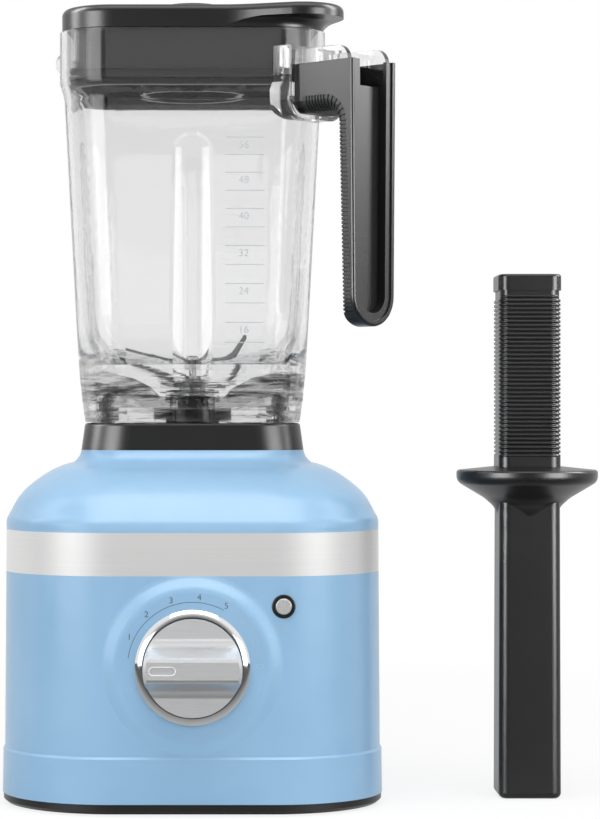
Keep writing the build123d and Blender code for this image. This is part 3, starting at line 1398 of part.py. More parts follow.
def blade_hub_nut():
    low = BLADE_SHOULDER + SPACER_THICKNESS + 2 * BLADE_THICKNESS
    nut = rod(HUB_NUT_RADIUS, low, HUB_NUT_TOP)
    nut = fillet(nut.edges().group_by(Axis.Z)[-1], HUB_NUT_DOME)
    return nut - rod(BLADE_STUD_RADIUS + PRESS_GAP, low, BLADE_STUD_TOP + PRESS_GAP)


def tab_plan():
    """Outline of the finger tab, whose sides leave the lid's sides smoothly."""
    side = Vector(TAB_BLEND_X, -LID_HALF).rotate(Axis.Z, -HANDLE_ANGLE)
    along = Vector(1, 0).rotate(Axis.Z, -HANDLE_ANGLE)
    touch = (TAB_CENTRE + TAB_RADIUS * cos(TAB_TOUCH), -TAB_RADIUS * sin(TAB_TOUCH))
    ends = (along, Vector(sin(TAB_TOUCH), cos(TAB_TOUCH)))
    flank = Spline((side.X, side.Y), touch, tangents=ends)
    nose = ThreePointArc(touch, (TAB_CENTRE + TAB_RADIUS, 0), (touch[0], -touch[1]))
    back = Line((side.X, side.Y), (side.X, -side.Y))
    return make_face([flank, nose, mirror(flank, about=Plane.XZ), back])


def cove_section(edge):
    """Section of the lid's side under the tab, which flares outward from the distance edge."""
    middle = TAB_COVE * sin(radians(HANDLE_ANGLE))
    curve = ThreePointArc(
        (edge, LID_LOW), (edge + TAB_COVE + middle, LID_LOW - middle), (edge + TAB_COVE, LID_LOW + TAB_COVE)
    )
    back = edge - TAB_COVE
    rest = Polyline(
        (edge + TAB_COVE, LID_LOW + TAB_COVE), (back, LID_LOW + TAB_COVE), (back, LID_LOW), (edge, LID_LOW)
    )
    return make_face([curve, rest])


def tab_root():
    """The coved pieces that carry the tab: round the lid's corner and along the two sides beside it."""
    centre = LID_HALF - LID_CORNER
    bend = Pos(centre, -centre, 0) * revolve(Plane.XZ * cove_section(LID_CORNER), Axis.Z)
    front = Plane(origin=(centre, 0, 0), x_dir=(0, -1, 0), z_dir=(-1, 0, 0))
    straight = extrude(front * cove_section(LID_HALF), 2 * centre)
    room = handle_frame(extrude(Pos(0, 0, LID_LOW) * tab_plan(), TAB_COVE))
    return [piece & room for piece in (bend, straight, turned(straight, SIDES[1]))]


def lid_shell():
    """Lid with a deep plug, hollow from below, and a round hole for the centre cap."""
    tab_low = LID_LOW + TAB_COVE
    top = square_block(LID_HALF, LID_CORNER, LID_LOW, LID_TOP)
    top += handle_frame(extrude(Pos(0, 0, tab_low) * tab_plan(), LID_TOP - tab_low))
    top = fillet(top.edges().group_by(Axis.Z)[-1], LID_EDGE)
    for piece in tab_root():
        top += piece
    shape = top + square_block(PLUG_HALF, PLUG_CORNER, PLUG_LOW, LID_LOW)
    roof = LID_TOP - LID_ROOF - CAP_SEAT_DEPTH
    hollow = square_block(PLUG_HALF - PLUG_WALL, PLUG_CORNER - PLUG_WALL, PLUG_LOW, roof)
    shape -= hollow - rod(HOLE_RADIUS + HOLE_WALL, PLUG_LOW, LID_TOP)
    shape += rod(CAP_SEAT_RADIUS + HOLE_WALL, roof, LID_TOP)
    shape -= rod(HOLE_RADIUS, PLUG_LOW, LID_TOP)
    return shape - rod(CAP_SEAT_RADIUS, LID_TOP - CAP_SEAT_DEPTH, LID_TOP)


def lid_gasket():
    """Rubber skirt round the plug with sealing fins."""
    skin_half = PLUG_HALF + LID_GASKET_SKIN
    shape = square_block(skin_half, PLUG_CORNER + LID_GASKET_SKIN, LID_GASKET_LOW, LID_GASKET_HIGH)
    step = (LID_GASKET_HIGH - LID_GASKET_LOW - LID_FIN) / (LID_GASKET_FINS - 1)
    fin_corner = PLUG_CORNER + LID_FIN_HALF - PLUG_HALF
    for index in range(LID_GASKET_FINS):
        low = LID_GASKET_LOW + index * step
        shape += square_block(LID_FIN_HALF, fin_corner, low, low + LID_FIN)
    return shape - square_block(
        PLUG_HALF + PRESS_GAP, PLUG_CORNER + PRESS_GAP, LID_GASKET_LOW, LID_GASKET_HIGH
    )


def centre_cap():
    flange_low = LID_TOP - CAP_SEAT_DEPTH
    flange = rod(CAP_FLANGE_RADIUS, flange_low, CAP_TOP)
    flange = fillet(flange.edges().group_by(Axis.Z)[-1], CAP_EDGE)
    knob = rod(CAP_KNOB_RADIUS, flange_low, CAP_KNOB_TOP)
    knob = fillet(knob.edges().group_by(Axis.Z)[-1], CAP_KNOB_EDGE)
    cap = flange + knob + rod(CAP_RADIUS, CAP_LOW, flange_low)
    cap -= rod(CAP_RADIUS - CAP_WALL - CAP_SEAL_GROOVE, CAP_LOW, flange_low)
    cap -= rod(CAP_KNOB_RADIUS - CAP_WALL - CAP_KNOB_EDGE, CAP_LOW, CAP_KNOB_TOP - CAP_WALL)
    return cap - tube(
        CAP_RADIUS, CAP_RADIUS - CAP_SEAL_GROOVE, CAP_SEAL_LOW, CAP_SEAL_LOW + CAP_SEAL
    )


def cap_seal():
    return tube(
        CAP_SEAL_RADIUS, CAP_RADIUS - CAP_SEAL_GROOVE + PRESS_GAP, CAP_SEAL_LOW, CAP_SEAL_LOW + CAP_SEAL
    )


def tamper_flange():
    """Round flange with a nearly flat top, a rounded rim and a hollowed cone below."""
    foot = (TAMPER_CONE_RADIUS, TAMPER_CONE_FOOT)
    rim_low = (TAMPER_FLANGE_RADIUS, TAMPER_FLANGE_LOW)
    rim_high = (TAMPER_FLANGE_RADIUS, TAMPER_FLANGE_HIGH)
    outline = Polyline(
        (0, TAMPER_CONE_LOW),
        (TAMPER_CONE_RADIUS, TAMPER_CONE_LOW),
        foot,
        TAMPER_CONE_KNEE,
        rim_low,
        rim_high,
        (TAMPER_NECK_RADIUS, TAMPER_FLANGE_TOP),
        (0, TAMPER_FLANGE_TOP),
        close=True,
    )
    profile = make_face(outline)
    blends = (
        (foot, TAMPER_FOOT_BLEND),
        (TAMPER_CONE_KNEE, TAMPER_KNEE_BLEND),
        (rim_low, TAMPER_RIM_LOW_EDGE),
        (rim_high, TAMPER_RIM_EDGE),
    )
    for corner, radius in blends:
        profile = fillet(profile.vertices().sort_by_distance(corner)[0], radius)
    return revolve(Plane.XZ * profile, Axis.Z)


def tamper_body():
    """Square shaft, round flange and ribbed square grip."""
    shaft = loft(
        [
            square(TAMPER_SHAFT_HALF, TAMPER_CORNER, 0),
            square(TAMPER_SHAFT_TOP_HALF, TAMPER_CORNER, TAMPER_FLANGE_LOW),
        ]
    )
    shaft = fillet(shaft.edges().group_by(Axis.Z)[0], TAMPER_FOOT_EDGE)
    core = TAMPER_GRIP_HALF - TAMPER_RIB_DEPTH
    grip = square_block(core, TAMPER_GRIP_CORNER - TAMPER_RIB_DEPTH, TAMPER_FLANGE_HIGH, TAMPER_CAP_LOW)
    grip += square_block(TAMPER_GRIP_HALF, TAMPER_GRIP_CORNER, TAMPER_FLANGE_HIGH, TAMPER_NECK_HIGH)
    count = int((TAMPER_GRIP_HIGH - TAMPER_NECK_HIGH) / TAMPER_RIB_PITCH)
    for index in range(count):
        low = TAMPER_NECK_HIGH + index * TAMPER_RIB_PITCH
        grip += square_block(TAMPER_GRIP_HALF, TAMPER_GRIP_CORNER, low, low + TAMPER_RIB)
    grip += rod(TAMPER_PEG_RADIUS, TAMPER_CAP_LOW, TAMPER_CAP_LOW + TAMPER_PEG)
    return Pos(TAMPER_X, TAMPER_Y, 0) * (shaft + tamper_flange() + grip)


def tamper_end_cap():
    cap = square_block(TAMPER_CAP_HALF, TAMPER_GRIP_CORNER, TAMPER_CAP_LOW, TAMPER_HEIGHT)
    cap = fillet(cap.edges().group_by(Axis.Z)[-1], TAMPER_CAP_EDGE)
    cap -= rod(TAMPER_PEG_RADIUS + PRESS_GAP, TAMPER_CAP_LOW, TAMPER_CAP_LOW + TAMPER_PEG + PRESS_GAP)
    return Pos(TAMPER_X, TAMPER_Y, 0) * cap


NODES = (
    base_housing,
    trim_band,
    foot_plate,
    foot_ring,
    foot_plate_screws,
    dial_bezel,
    control_knob,
    selector_shaft,
    selector_switch,
    start_button,
    start_button_ring,
    button_switch,
    button_spring,
    control_board,
    board_screws,
    cord_gland,
    lower_motor_bracket,
    upper_motor_bracket,
    lower_motor_bearing,
    upper_motor_bearing,
    stator_core,
    field_windings,
    carbon_brushes,
    brush_holders,
    motor_bolts,
    motor_mounts,
    motor_shaft,
    armature_core,
    armature_winding,
    commutator,
    cooling_fan,
    motor_shaft_seal,
    jar_seat_collar,
    collar_screws,
    drive_coupler,
    driven_coupler,
    jar,
    handle_shell,
    handle_grip,
    handle_screw,
    jar_floor_gasket,
    blade_bearing_housing,
    blade_bearings,
    blade_shaft_seal,
    bearing_retainer_nut,
    blade_shaft,
    blade_spacer,
    upper_blade,
    lower_blade,
    blade_hub_nut,
    lid_shell,
    lid_gasket,
    centre_cap,
    cap_seal,
    tamper_body,
    tamper_end_cap,
)


def main():
    os.makedirs("parts", exist_ok=True)
    for make in NODES:
        shape = make()
        export_step(shape, f"parts/{make.__name__}.step")
        print(make.__name__, round(shape.volume), len(shape.solids()))


if __name__ == "__main__":
    main()
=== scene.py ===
import json
import math

import bmesh
import bpy
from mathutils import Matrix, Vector


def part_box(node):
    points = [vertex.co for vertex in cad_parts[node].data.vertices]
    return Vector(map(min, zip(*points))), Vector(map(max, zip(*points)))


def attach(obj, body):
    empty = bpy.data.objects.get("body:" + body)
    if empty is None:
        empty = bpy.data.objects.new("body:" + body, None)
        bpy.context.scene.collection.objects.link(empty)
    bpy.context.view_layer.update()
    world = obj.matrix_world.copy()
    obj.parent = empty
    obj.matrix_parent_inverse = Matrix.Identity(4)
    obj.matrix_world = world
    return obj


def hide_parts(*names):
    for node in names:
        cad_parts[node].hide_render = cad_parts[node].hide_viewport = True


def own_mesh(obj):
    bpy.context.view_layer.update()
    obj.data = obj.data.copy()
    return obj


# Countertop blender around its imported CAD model, in metres. Front towards -Y, +Z up.

MM = 0.001

# The photograph's frame, in pixels, and the camera that took it
PHOTO_WIDTH = 600
PHOTO_HEIGHT = 819
FOCAL_PIXELS = 2778
AXIS_PIXEL = 192.5
HORIZON_PIXEL = 410
CAMERA_DISTANCE = 1.5
CAMERA_HEIGHT = 0.2037
SENSOR = 36.0

# Floor and background of the studio
WHITE = (1, 1, 1, 1)
FLOOR_HALF = 6.0
FLOOR_DROP = 0.2 * MM
FLOOR_COLOUR = (0.95, 0.95, 0.95, 1)
FLOOR_ROUGHNESS = 0.9
FLOOR_SHADOW_SHARE = 0.18
FLOOR_FADE = (0.35, 0.9)
FLOOR_MIRROR_FADE = (-0.3, 0.1)
FLOOR_MIRROR_DARK = 0.12
WORLD_LIGHT = 0.5
BACKGROUND_LIGHT = 1.0
ROOM_LIGHT = 0.12
ROOM_FADE = (-0.97, -0.5)

# Soft boxes round the point that they face. Each pair at the sides has its angle, height and size.
STUDIO_CENTRE = (0.06, 0.0, 0.2)
STRIP_DISTANCE = 1.4
STRIPS = ((45.0, 0.18, (0.75, 0.9)), (92.0, 1.13, (0.5, 1.3)))
STRIP_RADIANCE = 2.4
STRIP_BLACK_RADIANCE = 22.0
STRIP_APART = 0.05
HIGH_DISTANCE = 1.5
HIGH_HEIGHT = 1.4
HIGH_SIZE = (2.2, 0.7)
HIGH_RADIANCE = 4.0
CARD_DISTANCE = 2.2
CARD_HEIGHT = 0.3
CARD_SIZE = (2.6, 1.8)
CARD_RADIANCE = 1.08
FILL_DISTANCE = 2.2
FILL_HEIGHT = 0.9
FILL_SIZE = (1.8, 1.2)
FILL_RADIANCE = 1.38
TOP_HEIGHT = 1.5
TOP_FORWARD = -0.45
TOP_SIZE = (1.4, 1.0)
TOP_RADIANCE = 3.6

# Slots and nodes that have boxes of their own, and the node that the top box leaves out
BLACK_SLOTS = ("black_plastic", "black_rubber")
PAINT_SLOTS = ("blue_paint",)
CARD_NODES = ("control_knob", "start_button", "trim_band")
TOP_LEFT_OUT = ("control_knob",)

# Textures: no stretch, no shift, the span of most of a noise's values, patches per metre, depth of brushing
EVEN = (1, 1, 1)
STILL = (0, 0, 0)
NOISE_SPAN = (0.3, 0.7)
NOISE_ROUGHNESS = 0.55
PATCHES = 25.0
BRUSH_DEPTH = 0.05 * MM

# Waves in the clear plastic: deep on the jar's floor, hardly any on its walls
BOWL_WAVES = 90.0
BOWL_FADE = (0.222, 0.23)
WAVE_STRETCH = (0.5, 0.5, 5.0)
WAVE_SPAN = (0.42, 0.58)
WAVE_DEPTH = 0.2 * MM
WALL_WAVE_DEPTH = 0.005 * MM

# Share of the light that goes straight through the clear plastic, on the jar's floor and on its walls
FLOOR_STRAIGHT = (0.05, 0.9)
WALL_STRAIGHT = 0.05

# Tint of the clear plastic from face on to edge on, with painted shade that darkens it edge on, and the
# light that it loses per metre
CLEAR_TINT_AND_EDGE_SHADE = ((0.0, (247, 247, 247)), (0.7, (245, 245, 245)), (1.0, (136, 138, 139)))
CLEAR_LOSS = (60, 64, 66)
CLEAR_ABSORPTION = 8.0

# Ribs of the tamper's grip, as the CAD model has them, which the relief rounds off
RIB_PITCH = 2.2 * MM
RIB_FIRST = 179.65 * MM
RIB_RANGE = (179.0 * MM, 264.0 * MM)
RIB_EDGE = 0.2 * MM
RIB_ROUNDING = 0.35 * MM

# Printed films and the film of painted highlight, and how finely they follow the surface that they lie on
FILM = 0.06 * MM
LIFT = 0.03 * MM
FILM_MERGE = FILM / 10
MARK_STEP = 1.2 * MM
MARK_CUTS = 3
ARC_STEPS = 24
RING_STEPS = 20
BACKWARDS = (0, 1, 0)

# Marks of the dial, round its centre. Angles are in degrees from the right, anticlockwise.
NUMERAL_SIZE = 4.4 * MM
NUMERAL_RADIUS = 35.1 * MM
FIRST_NUMERAL_ANGLE = 154.6
NUMERAL_STEP = -23.4
NUMERAL_COUNT = 5
SPEED_LINE_RADIUS = 32.6 * MM
SPEED_LINE_ANGLES = (172.0, 61.0)
SPEED_LINE_WIDTH = 0.28 * MM
SPEED_LINE_STEPS = 48
ICON_RADIUS = 33.8 * MM
ICON_LINE = 0.3 * MM
ICON_HALF = 1.9 * MM
PULSE_HALF = 0.8 * ICON_HALF
PULSE_ANGLE = 198.0
OFF_HALF = 0.5 * ICON_HALF
OFF_ANGLE = 178.0
PROGRAM_ANGLES = (41.8, 20.8, 1.2, -18.9)

# Symbols, in shares of half their size
SQUARE_CORNERS = ((-1, -1), (1, -1), (1, 1), (-1, 1))
TRIANGLE_CORNERS = ((-0.7, 1.0), (1.0, 0.0), (-0.7, -1.0))
CUP_CORNERS = ((-0.7, 1.0), (0.7, 1.0), (0.45, -1.0), (-0.45, -1.0))
PULSE_CORNERS = ((-1.0, -0.5), (-0.4, -0.5), (-0.4, 0.5), (0.4, 0.5), (0.4, -0.5), (1.0, -0.5))
STAR_ANGLES = (90, 30, -30)
BOWL_RISE = 1 / 3

# Marks of the start button, and the painted highlight round the knob's engraved pointer
START_MARK_OFFSET = (-4.6 * MM, 1.2 * MM)
START_MARK_DROP = 11.0 * MM
START_MARK_HALF = 1.5 * MM
STOP_SQUARE_HALF = START_MARK_HALF / 3
POINTER_CENTRE = -15.0 * MM
POINTER_STRAIGHT = 8.9 * MM
POINTER_RADIUS = 2.08 * MM
POINTER_HIGHLIGHT_WIDTH = 0.4 * MM

# Measuring lines on the jar, from the top down, and the figures under every second one
TICK_COUNT = 13
TICK_HIGH = 344.6 * MM
TICK_STEP = 9.0 * MM
TICK_GROWTH = 0.124 * MM
TICK_X = (16.9 * MM, 37.0 * MM)
TICK_WIDTH = 0.45 * MM
TICK_PARTS = 12
JAR_NUMBER_SIZE = 5.4 * MM
JAR_NUMBER_TOP = 56
JAR_NUMBER_STEP = 8
JAR_NUMBER_EVERY = 2
JAR_NUMBER_DROP = 3.9 * MM
JAR_NUMBER_X = 26.5 * MM

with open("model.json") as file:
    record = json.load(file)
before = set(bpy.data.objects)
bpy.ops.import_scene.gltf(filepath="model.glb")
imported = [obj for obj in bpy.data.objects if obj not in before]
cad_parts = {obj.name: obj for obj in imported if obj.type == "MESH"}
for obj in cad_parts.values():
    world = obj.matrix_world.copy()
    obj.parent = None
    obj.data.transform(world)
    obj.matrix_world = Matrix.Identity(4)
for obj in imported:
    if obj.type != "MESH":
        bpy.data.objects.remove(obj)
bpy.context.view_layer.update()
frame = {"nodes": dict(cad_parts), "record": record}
nodes = frame["nodes"]
slot_of = {part["node"]: part["material_slot"] for part in frame["record"]["subparts"]}


def srgb(red, green, blue):
    """A screen colour, 0 to 255, turned by the sRGB formula into the linear values that shaders take."""
    def linear(value):
        share = value / 255
        return share / 12.92 if share <= 0.04045 else ((share + 0.055) / 1.055) ** 2.4
    return (linear(red), linear(green), linear(blue), 1.0)


class Shading:
    """A node tree under construction, of a material or of the world."""

    def __init__(self, owner):
        owner.use_nodes = True
        self.tree = owner.node_tree

    def feed(self, target, value):
        """A socket takes a constant, or what another socket gives."""
        if isinstance(value, bpy.types.NodeSocket):
            self.tree.links.new(value, target)
        else:
            target.default_value = value

    def fill(self, node, inputs):
        """The inputs of a node, by name. An underscore in a name stands for a space."""
        for socket, value in inputs.items():
            self.feed(node.inputs[socket.replace("_", " ")], value)

    def add(self, kind, settings=None, **inputs):
        """A new node with its settings and inputs."""
        made = self.tree.nodes.new(kind)
        for key, value in (settings or {}).items():
            setattr(made, key, value)
        self.fill(made, inputs)
        return made

    def joined(self, operation, first, second):
        """A Math node on two values, each a socket or a number."""
        made = self.add("ShaderNodeMath", {"operation": operation})
        self.feed(made.inputs[0], first)
        self.feed(made.inputs[1], second)
        return made.outputs["Value"]

    def between(self, factor, low, high, span=NOISE_SPAN, **settings):
        """A value that goes from low to high as a factor goes through a span."""
        made = self.add("ShaderNodeMapRange", settings, Value=factor, From_Min=span[0], From_Max=span[1],
                        To_Min=low, To_Max=high)
        return made.outputs["Result"]

    def faded(self, factor, low, high, span):
        """The same with a soft start and a soft end."""
        return self.between(factor, low, high, span, interpolation_type="SMOOTHSTEP")


class Surface(Shading):
    """One material under construction: a Principled shader and the textures that feed it."""

    def __init__(self, name, **constants):
        self.material = bpy.data.materials.new(name)
        super().__init__(self.material)
        self.shader = self.tree.nodes["Principled BSDF"]
        self.set(**constants)

    def set(self, **inputs):
        """Inputs of the Principled shader, as constants or from textures."""
        self.fill(self.shader, inputs)

    def place(self, stretch=EVEN, shift=STILL):
        """Coordinates in the object's own frame, in metres, stretched per axis and then shifted."""
        coordinates = self.add("ShaderNodeTexCoord").outputs["Object"]
        made = self.add("ShaderNodeMapping", Vector=coordinates, Scale=stretch, Location=shift)
        return made.outputs["Vector"]

    def height(self):
        return self.add("ShaderNodeSeparateXYZ", Vector=self.place()).outputs["Z"]

    def noise(self, scale, detail=3.0, stretch=EVEN):
        made = self.add("ShaderNodeTexNoise", Vector=self.place(stretch), Scale=scale, Detail=detail,
                        Roughness=NOISE_ROUGHNESS)
        return made.outputs["Fac"]

    def bands(self, scale, distortion):
        """Level stripes, one above the other."""
        made = self.add("ShaderNodeTexWave", {"wave_type": "BANDS", "bands_direction": "Z"},
                        Vector=self.place(), Scale=scale, Distortion=distortion, Detail=2.0)
        return made.outputs["Fac"]

    def ramp(self, factor, stops):
        """A colour ramp with (position, colour) stops."""
        made = self.add("ShaderNodeValToRGB", Fac=factor)
        elements = made.color_ramp.elements
        while len(elements) < len(stops):
            elements.new(1.0)
        for element, (position, colour) in zip(elements, stops):
            element.position = position
            element.color = srgb(*colour)
        return made.outputs["Color"]

    def colour(self, factor, dark, light, span=NOISE_SPAN):
        """A base colour that goes from dark to light as a factor goes through a span."""
        self.set(Base_Color=self.ramp(factor, ((span[0], dark), (span[1], light))))

    def bump(self, height, strength, depth):
        made = self.add("ShaderNodeBump", Height=height, Strength=strength, Distance=depth)
        self.set(Normal=made.outputs["Normal"])

    def relief(self, height):
        """A relief whose height is in metres."""
        self.bump(height, strength=1.0, depth=1.0)

    def tone(self, dark, light, rough, grains):
        """Patchy colour and uneven roughness. It gives back the fine grain that the roughness follows."""
        self.colour(self.noise(PATCHES), dark, light)
        fine = self.noise(grains, detail=2.0)
        self.set(Roughness=self.between(fine, *rough))
        return fine

    def grain(self, dark, light, rough, grains, strength, depth):
        """The usual make-up: a patchy tone, and its fine grain in relief."""
        self.bump(self.tone(dark, light, rough, grains), strength, depth)
        return self.material

    def blend(self, share, other):
        """The surface shows another shader by a share, and its own for the rest."""
        mix = self.add("ShaderNodeMixShader", Fac=share)
        self.feed(mix.inputs[1], self.shader.outputs["BSDF"])
        self.feed(mix.inputs[2], other)
        self.feed(self.tree.nodes["Material Output"].inputs["Surface"], mix.outputs["Shader"])


def blue_paint():
    paint = Surface("blue_paint", Coat_Weight=0.25, Coat_Roughness=0.12)
    return paint.grain(dark=(140, 182, 216), light=(146, 187, 220), rough=(0.34, 0.42), grains=1400.0,
                       strength=0.05, depth=0.2 * MM)


def brushed(name, dark, light, rough, lines, strength, anisotropy):
    """Metal with fine brushing: lines is the stretch that makes the strokes long one way."""
    metal = Surface(name, Metallic=1.0, Anisotropic=anisotropy)
    strokes = metal.noise(scale=1.0, detail=4.0, stretch=lines)
    metal.colour(strokes, dark, light)
    metal.set(Roughness=metal.between(strokes, *rough))
    metal.bump(strokes, strength, BRUSH_DEPTH)
    return metal.material


def brushed_band():
    return brushed("brushed_band", dark=(218, 218, 218), light=(228, 228, 227), rough=(0.44, 0.5),
                   lines=(14, 14, 9000), strength=0.04, anisotropy=0.3)


def knob_metal():
    return brushed("knob_metal", dark=(214, 215, 216), light=(228, 229, 230), rough=(0.42, 0.48),
                   lines=(90, 90, 7000), strength=0.04, anisotropy=0.2)


def steel():
    return brushed("steel", dark=(150, 151, 153), light=(196, 197, 198), rough=(0.16, 0.26),
                   lines=(90, 2200, 90), strength=0.06, anisotropy=0.5)


# Painted shade: a darker copy of the steel for the blades, for the dim inside of the jar.
def blade_steel():
    return brushed("blade_steel", dark=(84, 85, 87), light=(122, 123, 125), rough=(0.2, 0.3),
                   lines=(90, 2200, 90), strength=0.06, anisotropy=0.5)


def button_metal():
    """Spun metal: the strokes go out from the button's middle like rays."""
    metal = Surface("button_metal", Metallic=1.0, Anisotropic=0.6)
    low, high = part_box("start_button")
    centred = metal.place(shift=-(low + high) / 2)
    parts = metal.add("ShaderNodeSeparateXYZ", Vector=centred).outputs
    turn = metal.joined("ARCTAN2", parts["X"], parts["Z"])
    rays = metal.add("ShaderNodeTexNoise", {"noise_dimensions": "1D"}, W=turn, Scale=5.0, Detail=3.0)
    strokes = rays.outputs["Fac"]
    metal.colour(strokes, dark=(198, 199, 200), light=(228, 228, 227))
    metal.set(Roughness=metal.between(strokes, low=0.3, high=0.4))
    metal.bump(strokes, strength=0.03, depth=0.1 * MM)
    return metal.material


def black_moulding(name):
    """Black plastic before any relief, and the fine grain that its roughness follows."""
    plastic = Surface(name, Specular_IOR_Level=0.32)
    fine = plastic.tone(dark=(19, 19, 20), light=(24, 24, 25), rough=(0.28, 0.36), grains=2600.0)
    return plastic, fine


def black_plastic():
    plastic, fine = black_moulding("black_plastic")
    plastic.bump(fine, strength=0.08, depth=0.12 * MM)
    return plastic.material


def ribbed_plastic():
    """Black plastic whose ribs are rounded in relief along the tamper's grip."""
    plastic, _ = black_moulding("ribbed_plastic")
    height = plastic.height()
    turns = plastic.between(height, 0.0, 2 * math.pi, (RIB_FIRST, RIB_FIRST + RIB_PITCH), clamp=False)
    wave = plastic.add("ShaderNodeMath", {"operation": "COSINE"}, Value=turns).outputs["Value"]
    above = plastic.between(height, 0.0, RIB_ROUNDING / 2, (RIB_RANGE[0], RIB_RANGE[0] + RIB_EDGE))
    below = plastic.between(height, 1.0, 0.0, (RIB_RANGE[1] - RIB_EDGE, RIB_RANGE[1]))
    share = plastic.joined("MULTIPLY", above, below)
    plastic.relief(plastic.joined("MULTIPLY", wave, share))
    return plastic.material


def black_rubber():
    rubber = Surface("black_rubber", Specular_IOR_Level=0.25)
    return rubber.grain(dark=(25, 25, 26), light=(31, 31, 31), rough=(0.5, 0.62), grains=1800.0,
                        strength=0.12, depth=0.15 * MM)


def chrome():
    metal = Surface("chrome", Metallic=1.0)
    return metal.grain(dark=(222, 223, 224), light=(236, 236, 236), rough=(0.05, 0.1), grains=300.0,
                       strength=0.02, depth=0.1 * MM)


def satin_metal():
    metal = Surface("satin_metal", Metallic=1.0)
    return metal.grain(dark=(196, 197, 198), light=(216, 216, 215), rough=(0.24, 0.34), grains=1500.0,
                       strength=0.05, depth=0.1 * MM)


def laminated_steel():
    """A stack of thin sheets."""
    metal = Surface("laminated_steel", Metallic=0.8)
    sheets = metal.bands(scale=320.0, distortion=0.4)
    metal.colour(sheets, dark=(92, 92, 95), light=(142, 142, 144), span=(0.2, 0.8))
    metal.set(Roughness=metal.between(metal.noise(scale=120.0), low=0.4, high=0.6))
    metal.bump(sheets, strength=0.3, depth=0.2 * MM)
    return metal.material


def copper():
    """Turns of wire, one above the other."""
    wire = Surface("copper", Metallic=0.9)
    turns = wire.bands(scale=260.0, distortion=1.2)
    wire.colour(turns, dark=(122, 62, 34), light=(196, 112, 66), span=(0.1, 0.9))
    wire.set(Roughness=wire.between(wire.noise(scale=200.0), low=0.3, high=0.45))
    wire.bump(turns, strength=0.6, depth=0.4 * MM)
    return wire.material


def carbon():
    block = Surface("carbon")
    return block.grain(dark=(38, 38, 40), light=(58, 57, 58), rough=(0.55, 0.7), grains=2200.0,
                       strength=0.2, depth=0.1 * MM)


def cast_aluminium():
    metal = Surface("cast_aluminium", Metallic=0.85)
    return metal.grain(dark=(160, 161, 163), light=(186, 187, 189), rough=(0.42, 0.6), grains=900.0,
                       strength=0.25, depth=0.3 * MM)


def moulded_coupler():
    plastic = Surface("moulded_coupler", Specular_IOR_Level=0.4)
    return plastic.grain(dark=(40, 40, 42), light=(52, 52, 54), rough=(0.42, 0.55), grains=1200.0,
                         strength=0.15, depth=0.2 * MM)


def circuit_board():
    """A green board with pale tracks on its upright faces."""
    board = Surface("circuit_board")
    tracks = board.add("ShaderNodeTexBrick", Vector=board.place(stretch=(1, 0, 1)), Scale=160.0,
                       Color1=srgb(24, 84, 52), Color2=srgb(34, 104, 66), Mortar=srgb(70, 142, 92),
                       Mortar_Size=0.03)
    board.set(Base_Color=tracks.outputs["Color"])
    board.set(Roughness=board.between(board.noise(scale=400.0), low=0.32, high=0.5))
    board.bump(tracks.outputs["Fac"], strength=0.2, depth=0.1 * MM)
    return board.material


def clear_plastic():
    """Clear moulding: part of the light goes straight through it, and painted shade darkens its long edges.
    """
    clear = Surface("clear_plastic", Transmission_Weight=1.0, IOR=1.52)
    # Painted shade: the colour goes from a pale tint face on to dark grey as the surface turns edge on, for
    # the dark edges of the walls.
    facing = clear.add("ShaderNodeLayerWeight", Blend=0.3).outputs["Facing"]
    tint_and_edge_shade = clear.ramp(facing, CLEAR_TINT_AND_EDGE_SHADE)
    clear.set(Base_Color=tint_and_edge_shade)
    clear.set(Roughness=clear.between(clear.noise(scale=160.0), low=0.0, high=0.012))
    height = clear.height()
    depth = clear.between(height, WAVE_DEPTH, WALL_WAVE_DEPTH, BOWL_FADE)
    waves = clear.noise(BOWL_WAVES, detail=2.0, stretch=WAVE_STRETCH)
    clear.relief(clear.joined("MULTIPLY", waves, depth))
    streaks = clear.between(waves, *FLOOR_STRAIGHT, WAVE_SPAN)
    straight = clear.add("ShaderNodeBsdfTransparent", Color=tint_and_edge_shade)
    clear.blend(clear.between(height, streaks, WALL_STRAIGHT, BOWL_FADE), straight.outputs["BSDF"])
    loss = clear.add("ShaderNodeVolumeAbsorption", Color=srgb(*CLEAR_LOSS), Density=CLEAR_ABSORPTION)
    clear.fill(clear.tree.nodes["Material Output"], {"Volume": loss.outputs["Volume"]})
    return clear.material


def ink(name, dark, light, rough):
    """A flat colour for a film, of print or of painted highlight, almost without relief."""
    return Surface(name).grain(dark, light, rough, grains=1500.0, strength=0.05, depth=0.1 * MM)


def dark_print():
    return ink("dark_print", dark=(70, 84, 98), light=(84, 98, 112), rough=(0.45, 0.6))


def pale_print():
    return ink("pale_print", dark=(158, 184, 206), light=(170, 194, 214), rough=(0.45, 0.6))


# Painted highlight: a near-white colour for the glint round the edge of the knob's engraved pointer.
def white_print():
    return ink("white_print", dark=(236, 237, 238), light=(244, 244, 244), rough=(0.4, 0.5))


def frosted_print():
    return ink("frosted_print", dark=(180, 188, 192), light=(194, 201, 205), rough=(0.5, 0.65))


SLOT_MATERIALS = {
    make.__name__: make for make in (
        blue_paint, brushed_band, black_plastic, black_rubber, chrome, satin_metal, steel, laminated_steel,
        copper, carbon, cast_aluminium, moulded_coupler, circuit_board, clear_plastic,
    )
}
NODE_MATERIALS = {
    "control_knob": knob_metal, "start_button": button_metal, "upper_blade": blade_steel,
    "lower_blade": blade_steel, "tamper_body": ribbed_plastic,
}


